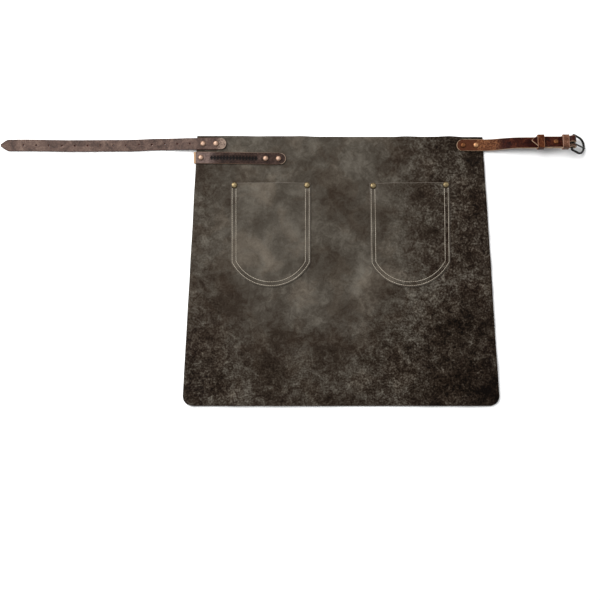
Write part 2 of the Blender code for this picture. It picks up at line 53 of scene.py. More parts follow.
# Half sizes end in _HALF, and PANEL_BOTTOM and PANEL_TOP_... are half widths too. The straps' rivets
# on the panel are given by their X, and a ramp by where it starts and where it ends.

PANEL_HEIGHT = 0.5235
PANEL_BOTTOM = 0.309
PANEL_TOP_LEFT = 0.280
PANEL_TOP_RIGHT = 0.2748
PANEL_CORNER = 0.021
PANEL_THICKNESS = 0.0018
GAP = 0.0003

WAIST_RISE = 0.0014
WAIST_RAMP = (0.330, 0.400)
CORNER_RISE = 0.0040
CORNER_RAMP_X = (-0.160, -0.215)
CORNER_RAMP_Y = (0.438, 0.468)

POCKET_HALF = 0.0773
POCKET_TOP = 0.434
POCKET_BOTTOM = 0.2315
POCKET_ARC = 0.0866
POCKET_THICKNESS = 0.0014
POCKET_CENTRES = {"left": -0.1370, "right": 0.1327}
POCKET_TILT = {"left": 0.0, "right": math.radians(0.8)}
POCKET_RIVET_X = 0.0707
POCKET_RIVET_Y = 0.4293
STITCH_INSET = {"outer": 0.0025, "inner": 0.0099}
STITCH_TOP = 0.4236

STRAP_HALF = 0.0112
STRAP_THICKNESS = 0.0030

HOLE_STRAP_TIP = (-0.6630, 0.5072)
HOLE_STRAP_END = (-0.2230, 0.5097)
HOLE_STRAP_LANDS = (-0.285, -0.350)
HOLE_STRAP_SAG = 0.0018
HOLE_STRAP_SAG_LEFT = (-0.620, -0.520)
HOLE_STRAP_SAG_RIGHT = (-0.350, -0.420)
HOLE_TIP_LENGTH = 0.0150
HOLE_TIP_HALF = 0.0020
HOLE_COUNT = 14
HOLE_PITCH = 0.025
HOLE_FIRST = 0.0447
HOLE_RADIUS = 0.0017
HOLE_STRAP_RIVETS = (-0.2682, -0.2432)

LOOP_END = (-0.1074, 0.4809)
LOOP_SLOPE = -0.0095
LOOP_THICKNESS = 0.0024
LOOP_BACK_END = -0.2590
LOOP_RIVETS = (-0.2724, -0.1470, -0.1219)

BUCKLE_STRAP_END = (0.2246, 0.5070)
BUCKLE_STRAP_LIFTS = 0.2755
BUCKLE_STRAP_RIVETS = (0.2365, 0.2615)
END_CENTRE = (0.4460, 0.5112, 0.0210)
STRAP_TWIST = math.radians(14.0)
STRAP_CLIMB = math.radians(2.0)
STRAP_YAW = math.radians(-0.1)
STRAIGHT_LENGTH = 0.100
FOLD_RADIUS = 0.0047
DROP_LENGTH = 0.014
TURN_BACK_LENGTH = 0.0783
TURN_BACK_RIVET = -0.0326
TURN_BACK_TIP_SHIFT = 0.0034
TURN_BACK_TIP_HALF = 0.0008
TURN_BACK_TIP_SLOPE = 1.12
SLOT_REACH = 0.010
SLOT_HALF = 0.0030
SLOT_SHIFT = -0.0041

BUCKLE_WIRE = 0.0021
BUCKLE_HALF = 0.0157
BUCKLE_DEPTH = 0.0334
BUCKLE_CORNER = 0.0026
BAR_CENTRE = (-0.0010, -0.0005, -0.0003)
BUCKLE_SKEW = math.radians(-9.0)
BUCKLE_DROOP = math.radians(37.3)
PRONG_WIRE = 0.0015
PRONG_EYE_Y = -0.0036
PRONG_TIP = (0.0332, -0.0022)
PRONG_WRAP = math.radians(260.0)

KEEPER_THICKNESS = 0.0020
KEEPER_HALF = 0.0116
KEEPER_LOW = -0.0065
KEEPER_HIGH = 0.0044
KEEPER_CORNER = 0.0028
KEEPERS = {"buckle_keeper": (-0.01425, 0.0125), "sliding_keeper": (-0.0620, 0.0130)}  # centre, width

CAP_BORE = 0.0018
CAP_BORE_DEPTH = 0.0016
BACK_THICKNESS = 0.0010
POST_RADIUS = 0.0015
POST_HOLE = 0.0018

# ---- Sizes of the fine meshes ------------------------------------------------

PANEL_CELL = 0.0036               # grid spacing of each leather piece
POCKET_CELL = 0.0016
STRIP_CELL = 0.0010
LOOP_CELL = 0.0007
KEEPER_CELL = 0.0008
KEEPER_SEAM = 0.0001              # half the gap where a keeper's two ends meet
EDGE_CLEARANCE = 0.0001           # the towel loop's bend is centred this far past the panel's edge
HOLE_MARGIN = 0.0010              # the grid is opened this far round a hole, and led to its rim
EDGE_ROUND = 0.00045              # radius on the leather's cut edges
EDGE_STEPS = 3
EDGE_WOBBLE = 0.00016             # cut edges aren't dead straight
SIDE_WOBBLE = 0.0006
WAIST_WOBBLE = 0.0004
CAP_ROLL = 0.00042                # radius of a rivet cap's rolled rim
PRONG_TAPER = 0.62                # how much of its radius the prong loses towards its tip
PRONG_TAPER_LENGTH = 0.0045
HOLE_DIMPLE = 0.0003              # the face dips round a punched hole
HOLE_REACH = 0.0035               # out to this far from the hole's middle,
HOLE_CLOSING = 0.78               # and the fibres almost close the hole at the back
HOLE_STRAP_LOOSE = (-0.300, -0.370)
HOLE_STRAP_LUMPS = 0.0007         # it doesn't lie quite flat where it is loose
STITCH_PITCH = 0.0036
STITCH_LENGTH = 0.0031
STITCH_RADIUS = 0.00056
STITCH_SLANT = 0.00016            # each end of a stitch lies this far off the row's middle line
STITCH_SLANT_CHANGE = 0.00006
STITCH_GROOVE = 0.00028           # how deep the thread sinks the leather, and how far to each side
GROOVE_HALF = 0.0022
WAIST_HIGH = 0.0017               # the cut waist edge stands this much higher left of the middle
WAIST_HIGH_SPAN = (-0.035, -0.085)
WAIST_BUMPS = ((0.127, 0.0010), (0.212, 0.0016))  # two low bumps right of it: where, and how high
WAIST_BUMP_HALF = 0.030
TOOLING_START = -0.2515           # the row of pressed lozenges on the towel loop, in X
TOOLING_END = -0.1655
TOOLING_COUNT = 15
TOOLING_HALF = 0.0051
TOOLING_DEPTH = 0.00035
SWELL_HEIGHT = 0.0021             # how far the panel's broad swells, rolls and creases stand up
ROLL_HEIGHT = 0.0010
CREASE_HEIGHT = 0.0015
# Ramps in X and Y towards the corners where the straps' rivets hold the panel flat.
HELD_DOWN = (((-0.070, -0.100), (0.440, 0.463)), ((0.190, 0.222), (0.465, 0.490)))
POCKET_EASE = 0.0004              # how far a pocket stands off the panel inside its seams,
POCKET_SWELL = 0.0009             # with more where it swells or folds and at its mouth
POCKET_FOLD = 0.0008
POCKET_MOUTH = 0.0013


# ---- Small helpers -----------------------------------------------------------

def steps(start, end, count):
    """count + 1 evenly spaced values from start to end."""
    return [start + (end - start) * i / count for i in range(count + 1)]


def ease(start, end, value):
    """0 before start, 1 after end, with a smooth rise between them."""
    t = min(max((value - start) / (end - start), 0.0), 1.0)
    return t * t * (3.0 - 2.0 * t)


def mix(a, b, share):
    return a + (b - a) * share


def ripple(x, y, size, seed):
    """Smooth noise from -1 to 1 with bumps of about the given size."""
    return noise.noise(Vector((x / size, y / size, seed)))


def cells(length, size):
    return max(2, round(length / size))


def post_holes(alongs, across=0.0):
    """The holes for rivet posts at these lengths along a piece."""
    return [(along, along, across, POST_HOLE) for along in alongs]


def panel_half_width(y, top):
    return mix(PANEL_BOTTOM, top, y / PANEL_HEIGHT)


# The CAD panel is widest where its rounded lower corners end.
panel_low, panel_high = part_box("apron_panel")
ORIGIN = Vector((panel_low.x + panel_half_width(PANEL_CORNER, PANEL_TOP_LEFT), panel_low.y, 0.0))


# ---- Flat cuts ---------------------------------------------------------------

def flat_cut(columns, rows, plan, holes=()):
    """A piece's pattern: the points of a grid and its faces, with each hole's rim worked into it.

    A hole is (start, end, across, radius): a slot between two lengths along, or a round hole where
    they are the same.
    """
    count = len(rows)
    points = [plan(column, row) for column in columns for row in rows]
    faces = []
    for i in range(len(columns) - 1):
        for j in range(count - 1):
            first = i * count + j
            faces.append((first, first + count, first + count + 1, first + 1))
    for hole in holes:
        faces = punch(points, faces, hole)
    used = sorted({index for face in faces for index in face})
    renumbered = {old: new for new, old in enumerate(used)}
    faces = [tuple(renumbered[index] for index in face) for face in faces]
    return [points[index] for index in used], faces


def border(faces):
    """The edges that only one face has, in the direction in which it has them."""
    edges = {(face[k - 1], face[k]) for face in faces for k in range(len(face))}
    return [(a, b) for a, b in sorted(edges) if (b, a) not in edges]


def chain(edges):
    """Closed loops of point numbers from the edges of a border."""
    following = dict(edges)
    loops = []
    while following:
        first = min(following)
        loop = [first]
        after = following.pop(first)
        while after != first:
            loop.append(after)
            after = following.pop(after)
        loops.append(loop)
    return loops


def punch(points, faces, hole):
    start, end, across, radius = hole

    def from_spine(point):
        near = (min(max(point[0], start), end), across)
        return near, math.hypot(point[0] - near[0], point[1] - near[1])

    close = {i for i, point in enumerate(points) if from_spine(point)[1] < radius + HOLE_MARGIN}
    opened = [face for face in faces if not close.isdisjoint(face)]
    kept = [face for face in faces if close.isdisjoint(face)]
    loop = chain(border(opened))[0]
    outer = loop
    for share in (0.5, 1.0):
        inner = []
        for index in loop:
            point = points[index]
            near, distance = from_spine(point)
            reach = mix(1.0, radius / distance, share)
            inner.append(len(points))
            points.append((mix(near[0], point[0], reach), mix(near[1], point[1], reach)))
        for k in range(len(loop)):
            kept.append((outer[k - 1], outer[k], inner[k], inner[k - 1]))
        outer = inner
    return kept


def outward(points, loop):
    """The direction out of the piece, and the stretch that keeps an even margin, round a loop."""
    normals = {}
    for k, index in enumerate(loop):
        before, here, after = points[loop[k - 1]], points[index], points[loop[(k + 1) % len(loop)]]
        sides = []
        for a, b in ((before, here), (here, after)):
            length = math.hypot(b[0] - a[0], b[1] - a[1])
            sides.append(Vector(((b[1] - a[1]) / length, (a[0] - b[0]) / length)))
        middle = (sides[0] + sides[1]).normalized()
        normals[index] = middle / max(middle.dot(sides[0]), 0.6)
    return normals


def per_point(mesh, name, values):
    """Values for the materials to read, one for each vertex."""
    mesh.attributes.new(name, "FLOAT", "POINT").data.foreach_set("value", values)


def leather_piece(name, cut, place, thickness, finishes, press=None):
    """A closed mesh from a flat cut, with rounded edges.

    place(along, across, height) gives a point of the piece, with height 0 on its back and 1 on its
    face. finishes are the materials of the face, the cut edge and the back. press(along, across)
    is the share, 0 to 1, of what is tooled there; it is kept for the material.
    """
    points, faces = cut
    loops = chain(border(faces))
    outline = max(loops, key=len)
    normals = {}
    for loop in loops:
        normals.update(outward(points, loop))
    edge = kdtree.KDTree(len(outline))
    for index in outline:
        edge.insert((*points[index], 0.0), index)
    edge.balance()

    spots = []                    # (along, across, height) of every vertex
    for height in (0.0, 1.0):
        for index, (along, across) in enumerate(points):
            inset = EDGE_ROUND * normals.get(index, Vector((0.0, 0.0)))
            spots.append((along - inset.x, across - inset.y, height))
    solid = [tuple(reversed(face)) for face in faces]
    kinds = [2] * len(faces)
    solid += [tuple(index + len(points) for index in face) for face in faces]
    kinds += [0] * len(faces)

    angles = steps(0.0, math.pi / 2, EDGE_STEPS)[1:]
    quarter = [(math.sin(a), 1.0 - math.cos(a)) for a in angles]
    profile = [(*turn, 0) for turn in quarter] + [(*turn, 1) for turn in reversed(quarter)]
    for loop in loops:
        ring = loop
        for out, lift, top in profile:
            following = []
            for index in loop:
                along, across = points[index]
                inset = EDGE_ROUND * (1.0 - out) * normals[index]
                height = lift * EDGE_ROUND / thickness
                following.append(len(spots))
                spots.append((along - inset.x, across - inset.y, 1.0 - height if top else height))
            solid += [(ring[k - 1], ring[k], following[k], following[k - 1]) for k in range(len(loop))]
            kinds += [1] * len(loop)
            ring = following
        last = [index + len(points) for index in loop]
        solid += [(ring[k - 1], ring[k], last[k], last[k - 1]) for k in range(len(loop))]
        kinds += [1] * len(loop)

    mesh = bpy.data.meshes.new(name)
    mesh.from_pydata([ORIGIN + Vector(place(*spot)) for spot in spots], [], solid)
    mesh.polygons.foreach_set("material_index", kinds)
    mesh.shade_smooth()
    pattern = mesh.uv_layers.new(name="pattern")
    for corner in mesh.loops:
        along, across, _ = spots[corner.vertex_index]
        pattern.data[corner.index].uv = (along, across)
    per_point(mesh, "from_edge", [edge.find((s[0], s[1], 0.0))[2] for s in spots])
    if press:
        per_point(mesh, "pressed", [press(s[0], s[1]) * s[2] for s in spots])
    for finish in finishes:
        mesh.materials.append(finish)
    return show(name, mesh)


def show(name, data):
    piece = bpy.data.objects.new(name, data)
    bpy.context.scene.collection.objects.link(piece)
    return piece


def settle(piece, body, slot, *nodes):
    """The piece rides on its body and stands for its CAD nodes. slot is not used."""
    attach(piece, body)
    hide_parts(*nodes)


def plain_piece(name, mesh, finish, body, slot, node):
    """A piece of one finish that stands for one CAD node."""
    mesh.materials.append(finish)
    settle(show(name, mesh), body, slot, node)


# ---- Strips ------------------------------------------------------------------

class Route:
    """The middle line of a strip, from a list of (point, sideways direction)."""

    def __init__(self, stations):
        self.points = [Vector(point) for point, _ in stations]
        self.sides = [Vector(side) for _, side in stations]
        self.lengths = [0.0]
        for a, b in zip(self.points, self.points[1:]):
            self.lengths.append(self.lengths[-1] + (b - a).length)
        last = len(self.points) - 1
        self.headings = []
        for i in range(last + 1):
            ahead = self.points[min(i + 1, last)] - self.points[max(i - 1, 0)]
            self.headings.append(ahead.normalized())
        self.length = self.lengths[-1]

    def at(self, along, across, out):
        """The point at a length along, a distance sideways and a distance out of the face."""
        high = min(max(bisect.bisect_right(self.lengths, along), 1), len(self.lengths) - 1)
        low = high - 1
        share = (along - self.lengths[low]) / (self.lengths[high] - self.lengths[low])
        side = mix(self.sides[low], self.sides[high], share)
        heading = mix(self.headings[low], self.headings[high], share)
        face = heading.cross(side).normalized()
        return mix(self.points[low], self.points[high], share) + side * across + face * out

    def layer(self, thickness):
        """Where the points of a plain strip of that thickness lie."""
        return lambda along, across, height: self.at(along, across, (height - 0.5) * thickness)


def round_end(half, row):
    """How far a half-round end runs back, and how far across it is, at a row from -1 to 1."""
    angle = row * math.pi / 2
    return half * (1.0 - math.cos(angle)), half * math.sin(angle)


def blunt_point(half, row):
    beyond = max(abs(row) * half - HOLE_TIP_HALF, 0.0) / (half - HOLE_TIP_HALF)
    return HOLE_TIP_LENGTH * (1.0 - (1.0 - beyond) ** 0.8), row * half


def turned_back_point(half, row):
    """A point that is off the strap's middle."""
    beyond = max(abs(row * half - TURN_BACK_TIP_SHIFT) - TURN_BACK_TIP_HALF, 0.0)
    return TURN_BACK_TIP_SLOPE * beyond, row * half


def square_end(half, row):
    return 0.0, row * half


def strip_cut(length, half, cell, start_end, far_end, holes=()):
    """The cut of a strip whose grid bends to follow the shape of its two ends."""
    reach = 1.9 * half

    def plan(along, row):
        across = row * half
        shift = 0.0
        for distance, end, way in ((along, start_end, 1.0), (length - along, far_end, -1.0)):
            share = min(max(1.0 - distance / reach, 0.0), 1.0)
            back, end_across = end(half, row)
            shift += way * share * back
            across += share * (end_across - row * half)
        middle = min(ease(0.0, reach, along), ease(0.0, reach, length - along))
        across += EDGE_WOBBLE * row ** 3 * middle * ripple(along, row, 0.012, 4.4)
        return along + shift, across

    columns = steps(0.0, length, cells(length, cell))
    rows = steps(-1.0, 1.0, cells(2 * half, cell))
    return flat_cut(columns, rows, plan, holes)


# ---- How the panel lies ------------------------------------------------------

def rise(x, y):
    """Height of the CAD panel's underside."""
    waist = WAIST_RISE * ease(*WAIST_RAMP, y)
    corner = (CORNER_RISE - WAIST_RISE) * ease(*CORNER_RAMP_X, x) * ease(*CORNER_RAMP_Y, y)
    return waist + corner


def panel_top(x, y):
    return rise(x, y) + PANEL_THICKNESS + GAP


def pocket_spot(side, across, y):
    """Where a point of a pocket lies on the panel: across is measured from its centre line."""
    turn = POCKET_TILT[side]
    down = y - POCKET_TOP
    x = POCKET_CENTRES[side] + across * math.cos(turn) - down * math.sin(turn)
    return x, POCKET_TOP + across * math.sin(turn) + down * math.cos(turn)


POCKET_RIVETS = [pocket_spot(side, across, POCKET_RIVET_Y)
                 for side in ("left", "right") for across in (-POCKET_RIVET_X, POCKET_RIVET_X)]


def slack(x, y):
    """1 where the leather lies free, falling to 0 where rivets and straps hold it down."""
    free = 1.0
    for ramp_x, ramp_y in HELD_DOWN:
        free *= 1.0 - ease(*ramp_y, y) * ease(*ramp_x, x)
    for rivet_x, rivet_y in POCKET_RIVETS:
        free *= ease(0.006, 0.032, math.hypot(x - rivet_x, y - rivet_y))
    return free


def wave(x, y):
    """How far the relaxed leather stands above the CAD panel: broad swells and softer creases."""
    swell = 0.5 + 0.5 * ripple(x, 1.3 * y, 0.125, 2.3)
    roll = 0.5 + 0.5 * ripple(x + 0.35 * y, y, 0.052, 7.9)
    crease = 1.0 - abs(ripple(0.6 * x - y, 0.9 * y + 0.5 * x, 0.085, 11.7))
    return slack(x, y) * (SWELL_HEIGHT * swell + ROLL_HEIGHT * roll + CREASE_HEIGHT * crease ** 6)


# ---- The panel and its pockets -----------------------------------------------

def rounded_corner(x, y):
    """Move a point of the square lower corner so that the corner becomes an arc.

    x and y are distances from the corner's two sides.
    """
    block = 2.6 * PANEL_CORNER
    a, b = 1.0 - x / block, 1.0 - y / block
    ring = max(a, b)
    if min(a, b) <= 0.0:
        return x, y
    square = Vector((a / ring * block, b / ring * block))
    flat = block - PANEL_CORNER
    if min(square) <= flat:
        return x, y
    past_a, past_b = square.x - flat, square.y - flat
    share = past_b / (2 * PANEL_CORNER) if a >= b else 1.0 - past_a / (2 * PANEL_CORNER)
    angle = share * math.pi / 2
    arc = Vector((flat + PANEL_CORNER * math.cos(angle), flat + PANEL_CORNER * math.sin(angle)))
    moved = Vector((a * block, b * block)) + (arc - square) * ring ** 4
    return block - moved.x, block - moved.y


def panel_plan(column, y):
    """Column runs from -1 to 1 across the panel."""
    top = PANEL_TOP_RIGHT if column > 0.0 else PANEL_TOP_LEFT
    half = panel_half_width(y, top)
    inward, up = rounded_corner(half * (1.0 - abs(column)), y)
    x = math.copysign(half - inward, column)
    near_side = abs(column) ** 12
    near_waist = (y / PANEL_HEIGHT) ** 16
    x += near_side * SIDE_WOBBLE * ripple(column, y, 0.075, 5.1)
    bumps = [height * ease(WAIST_BUMP_HALF, 0.0, abs(x - middle)) for middle, height in WAIST_BUMPS]
    waist = WAIST_HIGH * ease(*WAIST_HIGH_SPAN, x) + sum(bumps)
    waist += WAIST_WOBBLE * ripple(x, 0.0, 0.035, 8.2)
    return x, up + near_waist * waist


def make_panel(rivets, finishes):
    def place(x, y, height):
        return x, y, rise(x, y) + wave(x, y) + height * PANEL_THICKNESS

    columns = steps(-1.0, 1.0, cells(2 * PANEL_BOTTOM, PANEL_CELL))
    rows = steps(0.0, PANEL_HEIGHT, cells(PANEL_HEIGHT, PANEL_CELL))
    cut = flat_cut(columns, rows, panel_plan, [(x, x, y, POST_HOLE) for x, y in rivets])
    panel = leather_piece("panel_skin", cut, place, PANEL_THICKNESS, finishes)
    settle(panel, "apron", "panel_leather", "apron_panel")


def pocket_margin(across, y):
    """Distance of a point of a pocket from its sewn outline."""
    side = POCKET_HALF - abs(across)
    below = POCKET_BOTTOM + POCKET_ARC - y
    if below <= 0.0:
        return side
    return min(side, POCKET_ARC - math.hypot(across, below))


def pocket_back(side, across, y):
    """Height of a pocket's underside: it stands off the panel at its mouth and inside its seams."""
    x, place_y = pocket_spot(side, across, y)
    inside = ease(0.011, 0.045, pocket_margin(across, y))
    mouth = ease(0.375, POCKET_TOP, y) * max(0.0, 1.0 - (across / POCKET_RIVET_X) ** 2)
    swell = 0.5 + 0.5 * ripple(x, place_y, 0.045, 14.2)
    fold = 1.0 - abs(ripple(0.8 * x - 0.7 * place_y, 0.6 * x + place_y, 0.075, 21.3))
    lift = inside * (POCKET_EASE + POCKET_SWELL * swell + POCKET_FOLD * fold ** 5)
    return panel_top(x, place_y) + wave(x, place_y) + lift + POCKET_MOUTH * mouth


def pocket_groove(across, y):
    """Depth of the two grooves that the thread pulls into a pocket's face."""
    depth = 0.0
    for inset in STITCH_INSET.values():
        depth += max(0.0, 1.0 - (abs(pocket_margin(across, y) - inset) / GROOVE_HALF) ** 2)
    return STITCH_GROOVE * depth * ease(POCKET_TOP, STITCH_TOP, y)


def make_pocket(side, finishes):
    corner = math.asin(POCKET_HALF / POCKET_ARC)

    def plan(column, row):
        arc_across = POCKET_ARC * math.sin(column * corner)
        arc_y = POCKET_BOTTOM + POCKET_ARC * (1.0 - math.cos(column * corner))
        across = mix(arc_across, column * POCKET_HALF, row)
        return across, mix(arc_y, POCKET_TOP, row)

    def place(across, y, height):
        x, place_y = pocket_spot(side, across, y)
        out = height * (POCKET_THICKNESS - pocket_groove(across, y))
        return x, place_y, pocket_back(side, across, y) + out

    columns = steps(-1.0, 1.0, cells(2 * POCKET_HALF, POCKET_CELL))
    rows = steps(0.0, 1.0, cells(POCKET_TOP - POCKET_BOTTOM, POCKET_CELL))
    cut = flat_cut(columns, rows, plan, post_holes((-POCKET_RIVET_X, POCKET_RIVET_X), POCKET_RIVET_Y))
    pocket = leather_piece("pocket_" + side + "_skin", cut, place, POCKET_THICKNESS, finishes)
    settle(pocket, "apron", "pocket_leather", "pocket_" + side)


def tube_mesh(name, runs, sides, cyclic=False):
    """Closed tubes, one along each run of (point, radius)."""
    vertices, faces = [], []
    for run in runs:
        first = len(vertices)
        count = len(run)
        side = None
        for i, (point, radius) in enumerate(run):
            if cyclic:
                heading = run[(i + 1) % count][0] - run[i - 1][0]
            else:
                heading = run[min(i + 1, count - 1)][0] - run[max(i - 1, 0)][0]
            heading.normalize()
            if side is None:
                side = heading.orthogonal()
            side = (side - heading * side.dot(heading)).normalized()
            other = heading.cross(side)
            for k in range(sides):
                angle = 2 * math.pi * k / sides
                vertices.append(point + radius * (math.cos(angle) * side + math.sin(angle) * other))
        for i in range(count if cyclic else count - 1):
            here, there = first + i * sides, first + (i + 1) % count * sides
            for k in range(sides):
                after = (k + 1) % sides
                faces.append((here + k, here + after, there + after, there + k))
        if not cyclic:
            faces.append(tuple(first + k for k in reversed(range(sides))))
            faces.append(tuple(first + (count - 1) * sides + k for k in range(sides)))
    mesh = bpy.data.meshes.new(name)
    mesh.from_pydata([ORIGIN + vertex for vertex in vertices], [], faces)
    mesh.shade_smooth()
    return mesh


def stitch_line(inset):
    """A stitch row's middle line on a pocket, as closely spaced (across, y) points."""
    half = POCKET_HALF - inset
    radius = POCKET_ARC - inset
    corner = math.asin(half / radius)
    centre = POCKET_BOTTOM + POCKET_ARC
    arc = [(radius * math.sin(a), centre - radius * math.cos(a)) for a in steps(-corner, corner, 120)]
    down = [(-half, y) for y in steps(STITCH_TOP, arc[0][1], 60)[:-1]]
    up = [(half, y) for y in steps(arc[-1][1], STITCH_TOP, 60)[1:]]
    return [Vector((*point, 0.0)) for point in down + arc + up]


def make_stitches(side, row, finish):
    """Single stitches, each a short thread that rises out of one hole and dips into the next."""
    line = Route([(point, (0.0, 0.0, 1.0)) for point in stitch_line(STITCH_INSET[row])])
    count = int(line.length / STITCH_PITCH)
    first = (line.length - count * STITCH_PITCH) / 2
    runs = []
    for i in range(count):
        run = []
        slant = STITCH_SLANT + STITCH_SLANT_CHANGE * ripple(i, 0.0, 1.7, 3.0)
        for step in steps(-1.0, 1.0, 6):
            along = first + (i + 0.5) * STITCH_PITCH + step * STITCH_LENGTH / 2
            point = line.at(along, 0.0, slant * step)
            across, y = point.x, point.y
            x, place_y = pocket_spot(side, across, y)
            surface = pocket_back(side, across, y) + POCKET_THICKNESS - pocket_groove(across, y)
            lift = STITCH_RADIUS * (1.15 - 1.35 * step ** 4)
            radius = STITCH_RADIUS * (1.0 - 0.30 * step ** 4)
            run.append((Vector((x, place_y, surface + lift)), radius))
        runs.append(run)
    name = "pocket_" + side + "_stitch_" + row
    plain_piece(name + "_thread", tube_mesh(name, runs, 8), finish, "apron", "stitch_thread", name)


# ---- The straps --------------------------------------------------------------

def make_strap(name, route, far_end, holes, place, thickness, finishes, cell=STRIP_CELL, press=None):
    """A strap whose route starts at its half-round end on the panel."""
    cut = strip_cut(route.length, STRAP_HALF, cell, round_end, far_end, holes)
    strap = leather_piece(name + "_skin", cut, place, thickness, finishes, press)
    settle(strap, "apron", name + "_leather", name)


def hole_strap_y(x):
    """The strap's middle line, which sags a little where it lies loose."""
    t = (x - HOLE_STRAP_TIP[0]) / (HOLE_STRAP_END[0] - HOLE_STRAP_TIP[0])
    sag = HOLE_STRAP_SAG * ease(*HOLE_STRAP_SAG_LEFT, x) * ease(*HOLE_STRAP_SAG_RIGHT, x)
    return mix(HOLE_STRAP_TIP[1], HOLE_STRAP_END[1], t) - sag


def make_hole_strap():
    start, tip = HOLE_STRAP_END[0], HOLE_STRAP_TIP[0]
    on_panel = panel_top(*HOLE_STRAP_END)
    stations = []
    for x in steps(start, tip, 600):
        loose = ease(*HOLE_STRAP_LOOSE, x)
        lumps = HOLE_STRAP_LUMPS * loose * (0.5 + 0.5 * ripple(x, 0.0, 0.060, 6.6))
        height = on_panel * (1.0 - ease(*HOLE_STRAP_LANDS, x)) + lumps + STRAP_THICKNESS / 2
        stations.append(((x, hole_strap_y(x), height), (0.0, -1.0, 0.0)))
    route = Route(stations)
    punched = [route.length - HOLE_FIRST - HOLE_PITCH * i for i in range(HOLE_COUNT)]
    holes = [(along, along, 0.0, HOLE_RADIUS) for along in punched]
    holes += post_holes(start - x for x in HOLE_STRAP_RIVETS)

    def place(along, across, height):
        middle = min(punched, key=lambda hole: abs(along - hole))
        beside = 1.0 - ease(HOLE_RADIUS, HOLE_REACH, math.hypot(along - middle, across))
        closing = HOLE_CLOSING * beside * (1.0 - height)
        out = (height - 0.5) * STRAP_THICKNESS - height * HOLE_DIMPLE * beside
        return route.at(mix(along, middle, closing), mix(across, 0.0, closing), out)

    # The cut edge's dark red brown is partly the burnished edge's own colour and partly painted shade, kept
    # dark so that the punched holes' walls read shaded.
    finishes = layers("hole_strap", hole_strap_leather(), (0.055, 0.017, 0.010), (0.115, 0.080, 0.062))
    make_strap("hole_strap", route, blunt_point, holes, place, STRAP_THICKNESS, finishes)


def loop_y(x):
    return LOOP_END[1] + LOOP_SLOPE * (x - LOOP_END[0])


def loop_route():
    """From the round end along the panel, round its left edge and back behind it."""
    edge_y = loop_y(-PANEL_TOP_LEFT) - STRAP_HALF
    edge = -panel_half_width(edge_y, PANEL_TOP_LEFT) - EDGE_CLEARANCE
    middle = rise(edge, PANEL_HEIGHT) + PANEL_THICKNESS / 2
    fold = PANEL_THICKNESS / 2 + GAP + LOOP_THICKNESS / 2
    stations = [(x, loop_y(x), panel_top(x, loop_y(x)) + LOOP_THICKNESS / 2)
                for x in steps(LOOP_END[0], edge, 300)]
    stations += [(edge - fold * math.sin(a), loop_y(edge), middle + fold * math.cos(a))
                 for a in steps(0.0, math.pi, 24)[1:-1]]
    stations += [(x, loop_y(x), middle - fold) for x in steps(edge, LOOP_BACK_END, 30)]
    return Route([(station, (0.0, -1.0, 0.0)) for station in stations]), edge, fold


def lozenge(along, across):
    """How deep the row of pressed lozenges is at a point of the towel loop, from 0 to 1."""
    first = LOOP_END[0] - TOOLING_END
    pitch = (TOOLING_END - TOOLING_START) / (TOOLING_COUNT - 1)
    number = min(max(round((along - first) / pitch), 0), TOOLING_COUNT - 1)
    # Each lozenge reaches past the middle between two, so that neighbours join at their points.
    offset = abs(along - first - number * pitch) / (0.62 * pitch) + abs(across) / TOOLING_HALF
    pressed = ease(1.10, 0.82, offset)
    beyond = max(first - along, along - first - (TOOLING_COUNT - 1) * pitch)
    band = ease(0.0045, 0.0025, beyond)
    band *= ease(TOOLING_HALF + 0.0006, TOOLING_HALF - 0.0004, abs(across))
    return max(pressed, 0.35 * band)


def make_towel_loop():
    route, edge, fold = loop_route()
    front = LOOP_END[0] - edge
    back_rivet = front + math.pi * fold + LOOP_RIVETS[0] - edge
    holes = post_holes([LOOP_END[0] - x for x in LOOP_RIVETS] + [back_rivet])

    def place(along, across, height):
        relief = height * TOOLING_DEPTH * lozenge(along, across)
        return route.at(along, across, (height - 0.5) * LOOP_THICKNESS - relief)

    finishes = layers("towel_loop", towel_loop_leather(), (0.150, 0.085, 0.052), (0.105, 0.070, 0.052))
    make_strap("towel_loop", route, square_end, holes, place, LOOP_THICKNESS, finishes,
               LOOP_CELL, lozenge)


# The strap end's own frame has X towards the buckle, Z out of its face and its origin on the bar.
STRAP_FRAME = (Matrix.Translation(END_CENTRE)
               @ Euler((-STRAP_TWIST, -STRAP_CLIMB, STRAP_YAW)).to_matrix().to_4x4())
BUCKLE_FRAME = (STRAP_FRAME @ Matrix.Translation(BAR_CENTRE)
                @ Euler((0.0, BUCKLE_DROOP, BUCKLE_SKEW)).to_matrix().to_4x4())


